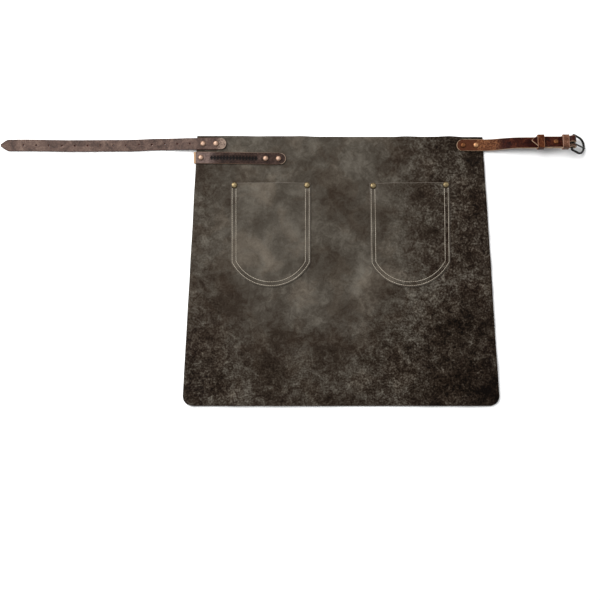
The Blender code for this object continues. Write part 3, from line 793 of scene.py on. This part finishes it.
def buckle_strap_route():
    """From the round end up and round the buckle's bar; also the lengths where the fold is."""
    start_x, start_y = BUCKLE_STRAP_END
    level = panel_top(start_x, start_y) + STRAP_THICKNESS / 2
    level_side = Vector((0.0, 1.0, 0.0))
    stations = [(Vector((x, start_y, level)), level_side)
                for x in steps(start_x, BUCKLE_STRAP_LIFTS, 60)]

    lift = Vector((BUCKLE_STRAP_LIFTS, start_y, level))
    straight = STRAP_FRAME @ Vector((-STRAIGHT_LENGTH, 0.0, -FOLD_RADIUS))
    heading = STRAP_FRAME.to_3x3() @ Vector((1.0, 0.0, 0.0))
    length = (straight - lift).length
    full_turn = STRAP_FRAME.to_quaternion()
    no_turn = Matrix.Identity(3).to_quaternion()
    for t in steps(0.0, 1.0, 70)[1:]:
        middle = (lift * (2 * t ** 3 - 3 * t ** 2 + 1) + straight * (3 * t ** 2 - 2 * t ** 3)
                  + Vector((length, 0, 0)) * (t ** 3 - 2 * t ** 2 + t)
                  + heading * length * (t ** 3 - t ** 2))
        stations.append((middle, no_turn.slerp(full_turn, ease(0.0, 1.0, t)) @ level_side))

    landed = -FOLD_RADIUS + STRAP_THICKNESS + GAP
    bent = [(x, -FOLD_RADIUS) for x in steps(-STRAIGHT_LENGTH, 0.0, 160)[1:-1]]
    fold_start = len(stations) + len(bent)
    bent += [(FOLD_RADIUS * math.cos(a), FOLD_RADIUS * math.sin(a))
             for a in steps(-math.pi / 2, math.pi / 2, 32)]
    fold_end = len(stations) + len(bent) - 1
    for x in steps(0.0, -DROP_LENGTH, 30)[1:]:
        bent.append((x, mix(FOLD_RADIUS, landed, ease(0.0, -DROP_LENGTH, x))))
    bent += [(x, landed) for x in steps(-DROP_LENGTH, -TURN_BACK_LENGTH, 90)[1:]]
    turned_side = STRAP_FRAME.to_3x3() @ level_side
    stations += [(STRAP_FRAME @ Vector((x, 0.0, z)), turned_side) for x, z in bent]
    route = Route(stations)
    return route, route.lengths[fold_start], route.lengths[fold_end]


def make_buckle_strap():
    route, fold_start, fold_end = buckle_strap_route()
    start = BUCKLE_STRAP_END[0]
    below = fold_start + TURN_BACK_RIVET
    above = route.length - TURN_BACK_LENGTH - TURN_BACK_RIVET
    holes = post_holes([x - start for x in BUCKLE_STRAP_RIVETS] + [below, above])
    holes.append((fold_start - SLOT_REACH + SLOT_HALF, fold_end + SLOT_REACH - SLOT_HALF,
                  SLOT_SHIFT, SLOT_HALF))
    face = buckle_strap_leather()
    finishes = (face, cut_edge("buckle_strap_edge", (0.330, 0.220, 0.135)), face)
    make_strap("buckle_strap", route, turned_back_point, holes, route.layer(STRAP_THICKNESS),
               STRAP_THICKNESS, finishes)


def make_keeper(name, finishes):
    """A short strip bent round the strap, its two ends meeting underneath."""
    centre, width = KEEPERS[name]
    middle = KEEPER_THICKNESS / 2
    half = KEEPER_HALF + middle
    low, high = KEEPER_LOW - middle, KEEPER_HIGH + middle
    radius = KEEPER_CORNER - middle
    corners = ((half - radius, low + radius, -90), (half - radius, high - radius, 0),
               (radius - half, high - radius, 90), (radius - half, low + radius, 180))
    section = [(KEEPER_SEAM, low)]
    for across, height, first in corners:
        for angle in steps(math.radians(first), math.radians(first + 90), 10):
            section.append((across + radius * math.cos(angle), height + radius * math.sin(angle)))
    section.append((-KEEPER_SEAM, low))
    side = STRAP_FRAME.to_3x3() @ Vector((1.0, 0.0, 0.0))
    dense = []
    for (y0, z0), (y1, z1) in zip(section, section[1:]):
        count = cells(math.hypot(y1 - y0, z1 - z0), KEEPER_CELL)
        dense += [(mix(y0, y1, t), mix(z0, z1, t)) for t in steps(0.0, 1.0, count)[:-1]]
    dense.append(section[-1])
    route = Route([(STRAP_FRAME @ Vector((centre, y, z)), side) for y, z in dense])
    cut = strip_cut(route.length, width / 2, STRIP_CELL, square_end, square_end)
    place = route.layer(KEEPER_THICKNESS)
    keeper = leather_piece(name + "_skin", cut, place, KEEPER_THICKNESS, finishes)
    settle(keeper, name, "keeper_leather", name)


# ---- Metal -------------------------------------------------------------------

def turned_mesh(name, profile, sides, matrix):
    """A profile of (radius, height) points turned about Z; its first and last lie on the axis."""
    vertices = [Vector((0.0, 0.0, profile[0][1]))]
    for radius, height in profile[1:-1]:
        for k in range(sides):
            angle = 2 * math.pi * k / sides
            vertices.append(Vector((radius * math.cos(angle), radius * math.sin(angle), height)))
    vertices.append(Vector((0.0, 0.0, profile[-1][1])))
    last = len(vertices) - 1
    rings = len(profile) - 2
    faces = []
    for k in range(sides):
        after = (k + 1) % sides
        faces.append((0, 1 + k, 1 + after))
        for ring in range(rings - 1):
            here = 1 + ring * sides
            faces.append((here + k, here + sides + k, here + sides + after, here + after))
        here = 1 + (rings - 1) * sides
        faces.append((last, here + after, here + k))
    mesh = bpy.data.meshes.new(name)
    mesh.from_pydata([matrix @ vertex for vertex in vertices], [], faces)
    mesh.shade_smooth()
    mesh.set_sharp_from_angle(angle=math.radians(50.0))
    return mesh


def cap_profile(radius, height):
    """A shallow dome that flattens towards its middle and rolls under at its rim."""
    shoulder = radius - CAP_ROLL
    dome = [(shoulder * math.sin(a), mix(1.9 * CAP_ROLL, height, math.cos(a)))
            for a in steps(0.0, math.pi / 2, 9)]
    rim = [(shoulder + CAP_ROLL * math.sin(a), CAP_ROLL * (1.0 + math.cos(a)))
           for a in steps(0.5, math.pi, 7)]
    return dome + rim + [(CAP_BORE, 0.0), (CAP_BORE, CAP_BORE_DEPTH), (0.0, CAP_BORE_DEPTH)]


def back_profile(radius, post_top):
    """A post on a thin back cap with a rounded edge."""
    edge = BACK_THICKNESS / 2
    rim = [(radius - edge + edge * math.cos(a), edge + edge * math.sin(a))
           for a in steps(math.pi / 2, -math.pi / 2, 8)]
    return [(0.0, post_top), (POST_RADIUS, post_top), (POST_RADIUS, BACK_THICKNESS)] + rim + [(0.0, 0.0)]


def make_rivet(name, finish, slot, cap_matrix, cap_size, back_matrix, back_size):
    for part, matrix, size, profile, sides in (("_cap", cap_matrix, cap_size, cap_profile, 48),
                                               ("_back", back_matrix, back_size, back_profile, 40)):
        mesh = turned_mesh(name + part, profile(*size), sides, matrix)
        to_axis = matrix.inverted()
        shares = [(to_axis @ vertex.co).xy.length / size[0] for vertex in mesh.vertices]
        per_point(mesh, "from_axis", shares)
        plain_piece(name + part + "_metal", mesh, finish, "apron", slot, name + part)


def upright(node):
    """Where an upright turned node stands, and its radius and height."""
    low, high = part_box(node)
    foot = Vector(((low.x + high.x) / 2, (low.y + high.y) / 2, low.z))
    return Matrix.Translation(foot), ((high.y - low.y) / 2, high.z - low.z)


def make_rivets(finishes):
    plan = [("pocket_" + side + "_" + edge + "_rivet", "antique_brass")
            for side in ("left", "right") for edge in ("left", "right")]
    for strap, count in (("hole_strap", 2), ("towel_loop", 3), ("buckle_strap", 2)):
        plan += [("%s_rivet_%d" % (strap, n + 1), "copper_rivet") for n in range(count)]
    for name, slot in plan:
        finish = finishes.get(name, finishes[slot])
        make_rivet(name, finish, slot, *upright(name + "_cap"), *upright(name + "_back"))

    lower_face = -FOLD_RADIUS - STRAP_THICKNESS / 2
    upper_face = lower_face + 2 * STRAP_THICKNESS + GAP
    cap_size = upright("hole_strap_rivet_1_cap")[1]
    back_radius = upright("pocket_left_left_rivet_back")[1][0]
    foot = lower_face - GAP - BACK_THICKNESS
    post_top = upper_face + CAP_BORE_DEPTH - foot
    to_row_frame = Matrix.Translation(ORIGIN) @ STRAP_FRAME
    cap_matrix = to_row_frame @ Matrix.Translation((TURN_BACK_RIVET, 0.0, upper_face + GAP))
    back_matrix = to_row_frame @ Matrix.Translation((TURN_BACK_RIVET, 0.0, foot))
    make_rivet("turn_back_rivet", finishes["turn_back_rivet"], "antique_brass",
               cap_matrix, cap_size, back_matrix, (back_radius, post_top))


def make_buckle(finish):
    """A closed ring of wire: a straight bar, two sides and a half-round end."""
    far = BUCKLE_DEPTH - BUCKLE_HALF
    inner = BUCKLE_HALF - BUCKLE_CORNER
    upper = [(BUCKLE_CORNER * (1.0 - math.cos(a)), inner + BUCKLE_CORNER * math.sin(a))
             for a in steps(0.0, math.pi / 2, 8)[1:]]
    upper += [(x, BUCKLE_HALF) for x in steps(BUCKLE_CORNER, far, 8)[1:]]
    upper += [(far + BUCKLE_HALF * math.sin(a), BUCKLE_HALF * math.cos(a))
              for a in steps(0.0, math.pi / 2, 22)[1:]]
    lower = [(x, -y) for x, y in reversed(upper[:-1])]
    ring = [(0.0, y) for y in steps(-inner, inner, 16)] + upper + lower
    run = [(BUCKLE_FRAME @ Vector((x, y, 0.0)), BUCKLE_WIRE) for x, y in ring]
    mesh = tube_mesh("buckle_ring_wire", [run], 24, cyclic=True)
    plain_piece("buckle_ring_wire", mesh, finish, "buckle_frame", "buckle_wire", "buckle_frame")


def make_prong(finish):
    """A wire tongue: its eye wraps the bar and its shank rests on the ring's far side."""
    eye = BUCKLE_WIRE + GAP + PRONG_WIRE
    points = []
    for angle in steps(math.pi / 2 + PRONG_WRAP, math.pi / 2, 40):
        points.append((Vector((eye * math.cos(angle), PRONG_EYE_Y, eye * math.sin(angle))), 1.0))
    tip_x, tip_y = PRONG_TIP
    for x in steps(0.0, tip_x, 40)[1:]:
        taper = 1.0 - PRONG_TAPER * ease(tip_x - PRONG_TAPER_LENGTH, tip_x, x) ** 2
        points.append((Vector((x, mix(PRONG_EYE_Y, tip_y, x / tip_x), eye)), taper))
    run = [(BUCKLE_FRAME @ point, PRONG_WIRE * taper) for point, taper in points]
    start = (mix(run[0][0], run[1][0], -0.5), 0.55 * PRONG_WIRE)
    nose = (mix(run[-2][0], run[-1][0], 1.6), 0.4 * run[-1][1])
    run = [start] + run + [nose]
    mesh = tube_mesh("buckle_prong_wire", [run], 20)
    plain_piece("buckle_prong_wire", mesh, finish, "buckle_prong", "buckle_wire", "buckle_prong")


# ---- Materials ---------------------------------------------------------------

BEYOND_EVERY_STRAP = 9.0
FLESH_COLOUR = (0.085, 0.068, 0.054)


class Finish:
    """A node material being put together. Noise follows the object's own coordinates."""

    def __init__(self, name, roughness=0.6, specular=0.5, metallic=0.0):
        self.material = bpy.data.materials.new(name)
        self.material.use_nodes = True
        self.tree = self.material.node_tree
        self.shader = self.tree.nodes["Principled BSDF"]
        self.shader.inputs["Roughness"].default_value = roughness
        self.shader.inputs["Specular IOR Level"].default_value = specular
        self.shader.inputs["Metallic"].default_value = metallic
        self.place = self.tree.nodes.new("ShaderNodeTexCoord").outputs["Object"]

    def node(self, kind, settings, inputs):
        node = self.tree.nodes.new(kind)
        for key, value in settings.items():
            setattr(node, key, value)
        for key, value in inputs.items():
            self.give(node.inputs[key], value)
        return node

    def give(self, socket, value):
        if isinstance(value, bpy.types.NodeSocket):
            self.tree.links.new(value, socket)
        elif socket.type == "RGBA" and len(value) == 3:
            socket.default_value = (*value, 1.0)
        else:
            socket.default_value = value

    def noise(self, size, detail=3.0, rough=0.55, warp=0.0, place=None):
        """0 to 1, mostly near 0.5, with features of about the given size in metres."""
        inputs = {"Vector": place or self.place, "Scale": 1.0 / size, "Detail": detail,
                  "Roughness": rough, "Distortion": warp}
        return self.node("ShaderNodeTexNoise", {}, inputs).outputs["Fac"]

    def cracks(self, size):
        """Distance from the borders of cells of the given size."""
        settings = {"feature": "DISTANCE_TO_EDGE"}
        inputs = {"Vector": self.place, "Scale": 1.0 / size}
        return self.node("ShaderNodeTexVoronoi", settings, inputs).outputs["Distance"]

    def attribute(self, name):
        return self.node("ShaderNodeAttribute", {"attribute_name": name}, {}).outputs["Fac"]

    def along(self):
        """The length along the piece's flat cut."""
        pattern = self.node("ShaderNodeUVMap", {"uv_map": "pattern"}, {})
        return self.node("ShaderNodeSeparateXYZ", {}, {"Vector": pattern.outputs["UV"]}).outputs["X"]

    def maths(self, operation, *values):
        """The values taken together in their order."""
        result = values[0]
        for value in values[1:]:
            node = self.node("ShaderNodeMath", {"operation": operation}, {0: result, 1: value})
            result = node.outputs["Value"]
        return result

    def plus(self, *values):
        return self.maths("ADD", *values)

    def minus(self, value, less):
        return self.maths("SUBTRACT", value, less)

    def times(self, *values):
        return self.maths("MULTIPLY", *values)

    def fade(self, value, low, high, start=0.0, end=1.0):
        """A smooth change from start, at value low, to end, at value high."""
        settings = {"interpolation_type": "SMOOTHSTEP"}
        inputs = {"Value": value, "From Min": low, "From Max": high, "To Min": start, "To Max": end}
        return self.node("ShaderNodeMapRange", settings, inputs).outputs["Result"]

    def blend(self, share, a, b, how="MIX"):
        """From colour a to colour b. The node's inputs 6 and 7 and its output 2 are its colours."""
        settings = {"data_type": "RGBA", "blend_type": how}
        return self.node("ShaderNodeMix", settings, {"Factor": share, 6: a, 7: b}).outputs[2]

    def ramp(self, value, *stops):
        node = self.node("ShaderNodeValToRGB", {}, {"Fac": value})
        elements = node.color_ramp.elements
        while len(elements) < len(stops):
            elements.new(0.5)
        for element, (spot, colour) in zip(elements, stops):
            element.position = spot
            element.color = (*colour, 1.0)
        return node.outputs["Color"]

    def bump(self, height, distance):
        inputs = {"Height": height, "Distance": distance, "Strength": 1.0}
        return self.node("ShaderNodeBump", {}, inputs).outputs["Normal"]

    def done(self, colour, roughness=None, normal=None):
        self.give(self.shader.inputs["Base Color"], colour)
        if roughness:
            self.give(self.shader.inputs["Roughness"], roughness)
        if normal:
            self.give(self.shader.inputs["Normal"], normal)
        return self.material


def leather_grain(finish, pebble=0.0011, depth=0.00012, wrinkle=0.006):
    """Fine pebbled grain with shallow wrinkles running through it."""
    pebbles = finish.fade(finish.cracks(pebble), 0.0, 0.35)
    wrinkles = finish.fade(finish.cracks(wrinkle), 0.0, 0.10)
    fine = finish.noise(0.0022, 4.0, 0.6)
    height = finish.plus(finish.times(pebbles, 0.5), fine, finish.times(wrinkles, 0.8))
    return finish.bump(height, depth)


def hide(name, calm, rough, level, marble_size, cloud_size, edge, edge_reach):
    """Waxed leather: smooth at the upper left, dark and mottled at the right and below, with painted light
    and shade.

    calm and rough are the marbling's contrast in the two, and level is how light the first is.
    Its cut edges have a line of their own colour, which fades out over edge_reach.
    """
    finish = Finish(name, specular=0.05)
    # dark grows towards the right, the far left and the bottom. It raises the marbling's own contrast
    # there, and it also paints shade: the colour darkens away from the upper left, where the light comes
    # from.
    spot = finish.node("ShaderNodeSeparateXYZ", {}, {"Vector": finish.place})
    to_right = finish.fade(spot.outputs["X"], 0.08, 0.38, 0.0, 0.85)
    to_left = finish.fade(spot.outputs["X"], -0.06, -0.20, 0.0, 0.34)
    down = finish.fade(spot.outputs["Y"], 0.0, -0.25, 0.0, 0.53)
    dark = finish.plus(to_right, to_left, down)
    cloud = finish.minus(finish.noise(cloud_size, 3.0, 0.5, 0.4), 0.5)
    marble = finish.minus(finish.noise(marble_size, 7.0, 0.68, 0.8), 0.5)
    fleck = finish.minus(finish.noise(0.0036, 3.0, 0.65), 0.5)
    mottled = finish.plus(finish.times(marble, finish.fade(dark, 0.0, 0.9, calm, rough)),
                          finish.times(fleck, finish.fade(dark, 0.1, 0.8, 0.2, 1.7)))
    # Painted shade: the whole colour is shifted darker where dark is high, and stays lightest at the upper
    # left as a painted sheen.
    shade = finish.minus(level, finish.times(dark, 0.34))
    value = finish.plus(mottled, finish.times(cloud, 0.9), shade)
    colour = finish.ramp(value, (0.0, (0.0020, 0.0010, 0.0005)), (0.28, (0.0100, 0.0058, 0.0033)),
                         (0.50, (0.0235, 0.0165, 0.0112)), (0.70, (0.0480, 0.0405, 0.0315)),
                         (1.0, (0.115, 0.102, 0.083)))
    warm = finish.fade(finish.noise(0.055, 4.0, 0.6, 0.6), 0.46, 0.62, 0.0, 0.6)
    colour = finish.blend(warm, colour, (1.00, 0.92, 0.86), "MULTIPLY")
    inside = finish.fade(finish.attribute("from_edge"), *edge_reach)
    roughness = finish.fade(value, 0.1, 0.9, 0.50, 0.68)
    return finish.done(finish.blend(inside, edge, colour), roughness, leather_grain(finish))


def shaded(finish, value, colour, stops, dark, light):
    """The colour where the value is at the second stop, darker at the first, lighter at the third."""
    shades = (tuple(dark * c for c in colour), colour, tuple(light * c for c in colour))
    return finish.ramp(value, *zip(stops, shades))


def flesh_side(name, colour):
    """The suede back of the leather: matt, fibrous, with a nap that varies."""
    finish = Finish(name, roughness=0.92, specular=0.25)
    nap = finish.noise(0.020, 5.0, 0.65, 1.0)
    fibres = finish.noise(0.0006, 5.0, 0.7, 1.5)
    value = finish.plus(finish.times(nap, 0.7), finish.times(fibres, 0.6))
    shades = shaded(finish, value, colour, (0.35, 0.65, 0.90), 0.55, 1.5)
    finish.shader.inputs["Sheen Weight"].default_value = 0.25
    return finish.done(shades, None, finish.bump(finish.noise(0.0009, 5.0, 0.7, 1.5), 0.00018))


def cut_edge(name, colour):
    """A cut edge: layered fibres, lighter and darker along it."""
    finish = Finish(name, roughness=0.70)
    fibres = finish.noise(0.0009, 4.0, 0.6, 0.5)
    patches = finish.noise(0.008, 3.0)
    value = finish.plus(finish.times(fibres, 0.6), finish.times(patches, 0.6))
    shades = shaded(finish, value, colour, (0.40, 0.60, 0.85), 0.4, 1.6)
    return finish.done(shades, None, finish.bump(fibres, 0.00012))


def layers(name, face, edge_colour, flesh_colour):
    """The finishes of a piece of leather: its face, its cut edge and its back."""
    return face, cut_edge(name + "_edge", edge_colour), flesh_side(name + "_flesh", flesh_colour)


def strap_leather(name, tones, edge, edge_width, size, crackle, gloss, specular, cell=0.0035,
                  worn_edge_highlight=None, rubbed_from=BEYOND_EVERY_STRAP, rub_width=0.0014):
    """Strap leather: marbled, crackled through its finish, and darker along its edges, by burnishing and
    painted shade, or worn light.

    tones are dark, middle and light. rubbed is the light colour of the cut edge's border within about
    14 mm of the start, and again from the length rubbed_from on; it is partly wear and partly a painted
    highlight.
    """
    finish = Finish(name, specular=specular)
    marble = finish.noise(size, 6.0, 0.65, 0.8)
    fleck = finish.noise(0.0026, 4.0, 0.65)
    value = finish.plus(finish.times(marble, 0.9), finish.times(fleck, 0.6))
    colour = finish.ramp(value, *zip((0.58, 0.76, 1.02), tones))
    lines = finish.fade(finish.cracks(cell), 0.0, 0.09, 1.0, 0.0)
    patchy = finish.fade(finish.noise(0.015, 3.0), 0.42, 0.62)
    colour = finish.blend(finish.times(lines, patchy, crackle), colour, tones[-1])
    # The line along the cut edges: on the dark straps it is partly burnished edge and partly painted shade,
    # on the keepers a worn light edge.
    from_edge = finish.attribute("from_edge")
    uneven = finish.minus(from_edge, finish.times(finish.noise(0.007, 4.0, 0.6), edge_width))
    edge_wear_and_shade = finish.fade(uneven, -0.5 * edge_width, edge_width * 0.5, 1.0, 0.0)
    colour = finish.blend(edge_wear_and_shade, colour, edge)
    if worn_edge_highlight:
        along = finish.along()
        near_end = finish.plus(finish.fade(along, 0.007, 0.0145, 1.0, 0.0),
                               finish.fade(along, rubbed_from, rubbed_from + 0.004))
        # Painted highlight with wear: a light line along the cut edge near the ends.
        line = finish.fade(from_edge, 0.6 * rub_width, 1.5 * rub_width, 1.0, 0.0)
        colour = finish.blend(finish.times(near_end, line), colour, worn_edge_highlight)
    return finish, colour, finish.fade(value, 0.55, 0.95, *gloss)


def hole_strap_leather():
    """Dull red brown, its round end scuffed light, with a painted highlight along that end's border."""
    tones = ((0.027, 0.0150, 0.0115), (0.070, 0.042, 0.033), (0.150, 0.102, 0.080))
    finish, colour, roughness = strap_leather(
        "hole_strap_leather", tones, (0.020, 0.0076, 0.0052), edge_width=0.0016, size=0.020,
        crackle=0.12, gloss=(0.50, 0.66), specular=0.13, worn_edge_highlight=(0.210, 0.165, 0.130))
    scuffs = finish.fade(finish.noise(0.0030, 4.0, 0.7, 0.6), 0.42, 0.60, 0.25, 1.0)
    worn = finish.times(finish.fade(finish.along(), 0.008, 0.022, 1.0, 0.0), scuffs)
    colour = finish.blend(worn, colour, (0.240, 0.175, 0.135))
    return finish.done(colour, roughness, leather_grain(finish, 0.0009, 0.00010, 0.004))


def towel_loop_leather():
    """Near black, lighter towards the panel's edge by a painted highlight with scuffs in it, and with a
    painted highlight where it bends round it.
    """
    tones = ((0.0085, 0.0040, 0.0028), (0.0230, 0.0115, 0.0083), (0.070, 0.043, 0.034))
    finish, colour, roughness = strap_leather(
        "towel_loop_leather", tones, (0.018, 0.0076, 0.0052), edge_width=0.0010, size=0.014,
        crackle=0.20, gloss=(0.44, 0.62), specular=0.09, worn_edge_highlight=(0.180, 0.130, 0.095))
    along = finish.along()
    # Painted highlight with scuffed patches: the loop is lighter towards the panel's edge.
    painted_highlight_near_edge = finish.fade(along, 0.132, 0.152, 0.0, 0.85)
    scuffs = finish.fade(finish.noise(0.0040, 4.0, 0.6), 0.40, 0.62, 0.55, 1.0)
    colour = finish.blend(finish.times(painted_highlight_near_edge, scuffs), colour, (0.145, 0.100, 0.087))
    # Painted highlight: a light tan band where the loop bends round the panel's edge.
    painted_bend_highlight = finish.times(finish.fade(along, 0.1740, 0.1762), finish.fade(along, 0.190, 0.183), 0.9)
    colour = finish.blend(painted_bend_highlight, colour, (0.330, 0.205, 0.115))
    colour = finish.blend(finish.attribute("pressed"), colour, (0.0020, 0.0006, 0.0004))
    return finish.done(colour, roughness, leather_grain(finish, 0.0009, 0.00010, 0.004))


def buckle_strap_leather():
    """Black over red brown: browned on the panel, and cracked light where it lifts and flexes."""
    tones = ((0.0045, 0.0003, 0.0001), (0.018, 0.0016, 0.0005), (0.080, 0.022, 0.009))
    finish, colour, roughness = strap_leather(
        "buckle_strap_leather", tones, (0.016, 0.0040, 0.0020), edge_width=0.0008, size=0.010,
        crackle=0.45, gloss=(0.30, 0.52), specular=0.07, cell=0.0030,
        worn_edge_highlight=(0.250, 0.110, 0.070), rubbed_from=0.3005, rub_width=0.0007)
    along = finish.along()
    browned = finish.fade(along, 0.092, 0.055, 0.0, 0.75)
    colour = finish.blend(browned, colour, (0.066, 0.021, 0.0088))
    specks = finish.fade(finish.noise(0.0026, 4.0, 0.7), 0.45, 0.60)
    flexed = finish.times(finish.fade(along, 0.030, 0.045), finish.fade(along, 0.092, 0.070), specks, 0.70)
    colour = finish.blend(flexed, colour, (0.220, 0.092, 0.040))
    return finish.done(colour, roughness, leather_grain(finish, 0.0008, 0.00012, 0.0032))


def keeper_finishes(name, tones, edge, cut, flesh):
    """Plain worn leather, each keeper in colours of its own."""
    finish, colour, roughness = strap_leather(
        name + "_leather", tones, edge, edge_width=0.0020, size=0.008, crackle=0.25,
        gloss=(0.36, 0.58), specular=0.07, cell=0.0026)
    face = finish.done(colour, roughness, leather_grain(finish, 0.0008, 0.00010, 0.003))
    return layers(name, face, cut, flesh)


def thread():
    """Waxed cream thread with its twist and a little dirt."""
    finish = Finish("stitch_thread", roughness=0.75)
    dirt = finish.noise(0.030, 4.0, 0.6)
    colour = finish.ramp(dirt, (0.35, (0.260, 0.220, 0.170)), (0.65, (0.420, 0.370, 0.300)))
    flatter = finish.node("ShaderNodeMapping", {}, {"Vector": finish.place, "Scale": (1.0, 1.0, 0.6)})
    twist = finish.noise(0.0005, 3.0, 0.6, 1.0, flatter.outputs["Vector"])
    return finish.done(colour, None, finish.bump(twist, 0.00010))


def aged_metal(name, bright, dull, gloss=(0.42, 0.62)):
    """Cap metal rubbed bright in its middle, with tarnish spots and a darker rim."""
    finish = Finish(name, metallic=1.0)
    tarnish = finish.noise(0.0020, 5.0, 0.65)
    rim = finish.fade(finish.attribute("from_axis"), 0.55, 1.0, 0.0, 0.28)
    value = finish.plus(tarnish, rim)
    roughness = finish.fade(value, 0.40, 0.75, *gloss)
    scratches = finish.bump(finish.noise(0.0008, 4.0, 0.6), 0.00004)
    return finish.done(finish.ramp(value, (0.40, bright), (0.72, dull)), roughness, scratches)


def buckle_wire():
    """Blackened steel wire, rubbed to grey here and there."""
    finish = Finish("buckle_wire", metallic=1.0)
    wear = finish.noise(0.0045, 5.0, 0.62)
    colour = finish.ramp(wear, (0.42, (0.010, 0.009, 0.0085)), (0.62, (0.024, 0.022, 0.021)),
                         (0.80, (0.120, 0.115, 0.110)))
    roughness = finish.fade(wear, 0.35, 0.70, 0.42, 0.26)
    return finish.done(colour, roughness, finish.bump(finish.noise(0.0010, 4.0), 0.00004))


def rivet_finishes():
    """By slot, and by name for the three rivets that have aged in their own way."""
    browned = aged_metal("browned_copper", (0.230, 0.095, 0.040), (0.055, 0.018, 0.007))
    golden = aged_metal("golden_copper", (0.600, 0.340, 0.180), (0.200, 0.085, 0.038))
    brass = aged_metal("antique_brass", (0.300, 0.235, 0.130), (0.085, 0.058, 0.028), (0.46, 0.66))
    copper = aged_metal("copper_rivet", (0.430, 0.300, 0.225), (0.210, 0.125, 0.085), (0.55, 0.72))
    return {"antique_brass": brass, "copper_rivet": copper, "turn_back_rivet": browned,
            "buckle_strap_rivet_1": browned, "buckle_strap_rivet_2": golden}


# ---- The studio --------------------------------------------------------------

def make_floor():
    """A plain pale sweep that the apron lies on."""
    reach = 6.0
    finish = Finish("pale_floor", roughness=0.85, specular=0.2)
    colour = finish.ramp(finish.noise(0.35, 2.0), (0.3, (0.93, 0.93, 0.93)), (0.7, (0.95, 0.95, 0.95)))
    mesh = bpy.data.meshes.new("floor")
    corners = [(-reach, -reach, 0), (reach, -reach, 0), (reach, reach, 0), (-reach, reach, 0)]
    mesh.from_pydata(corners, [], [(0, 1, 2, 3)])
    mesh.materials.append(finish.done(colour))
    show("floor", mesh)


def area_light(name, place, target, size, power):
    light = bpy.data.lights.new(name, "AREA")
    light.shape = "SQUARE"
    light.size = size
    light.energy = power
    lamp = show(name, light)
    lamp.location = place
    lamp.rotation_euler = (Vector(target) - Vector(place)).to_track_quat("-Z", "Y").to_euler()


def make_light():
    world = bpy.data.worlds.new("studio")
    world.use_nodes = True
    sky = world.node_tree.nodes["Background"]
    sky.inputs["Color"].default_value = (0.98, 0.99, 1.0, 1.0)
    sky.inputs["Strength"].default_value = 0.36
    bpy.context.scene.world = world
    area_light("key", (-1.5, 1.3, 1.9), (0.0, 0.0, 0.0), 2.4, 150.0)
    area_light("fill", (2.4, 0.9, 1.0), (0.1, 0.0, 0.0), 1.6, 30.0)


def make_camera():
    """Straight above, over the middle of the apron and its straps."""
    camera = bpy.data.cameras.new("camera")
    camera.sensor_width = 36.0
    camera.lens = 55.4
    eye = show("camera", camera)
    eye.location = (0.0143, -0.0574, 1.8)
    bpy.context.scene.camera = eye
    bpy.context.scene.view_settings.view_transform = "Standard"


# ---- Assembly ----------------------------------------------------------------

PANEL_FACE = hide("panel_leather", calm=0.60, rough=1.9, level=0.715, marble_size=0.016, cloud_size=0.090,
                  edge=(0.012, 0.0084, 0.0060), edge_reach=(0.0, 0.0010))
POCKET_FACE = hide("pocket_leather", calm=0.35, rough=1.7, level=0.772, marble_size=0.014, cloud_size=0.060,
                   edge=(0.060, 0.050, 0.040), edge_reach=(0.0002, 0.0016))
POCKET_FINISHES = layers("pocket", POCKET_FACE, (0.100, 0.082, 0.064), FLESH_COLOUR)
THREAD = thread()
WIRE = buckle_wire()
KEEPER_COLOURS = {                # tones and worn edge of the face, then the cut edge and the back
    "buckle_keeper": (((0.026, 0.008, 0.004), (0.088, 0.036, 0.020), (0.190, 0.098, 0.066)),
                      (0.180, 0.090, 0.058), (0.240, 0.140, 0.095), (0.090, 0.055, 0.040)),
    "sliding_keeper": (((0.012, 0.0022, 0.0006), (0.040, 0.0085, 0.0024), (0.150, 0.050, 0.018)),
                       (0.140, 0.056, 0.026), (0.200, 0.100, 0.055), (0.080, 0.044, 0.028)),
}

make_camera()
make_light()
make_floor()

rivet_spots = list(POCKET_RIVETS)
rivet_spots += [(x, hole_strap_y(x)) for x in HOLE_STRAP_RIVETS]
rivet_spots += [(x, loop_y(x)) for x in LOOP_RIVETS]
rivet_spots += [(x, BUCKLE_STRAP_END[1]) for x in BUCKLE_STRAP_RIVETS]
make_panel(rivet_spots, layers("panel", PANEL_FACE, (0.060, 0.048, 0.037), FLESH_COLOUR))
for pocket in ("left", "right"):
    make_pocket(pocket, POCKET_FINISHES)
    for stitch_row in ("outer", "inner"):
        make_stitches(pocket, stitch_row, THREAD)
make_hole_strap()
make_towel_loop()
make_buckle_strap()
for keeper, colours in KEEPER_COLOURS.items():
    make_keeper(keeper, keeper_finishes(keeper, *colours))
make_rivets(rivet_finishes())
make_buckle(WIRE)
make_prong(WIRE)
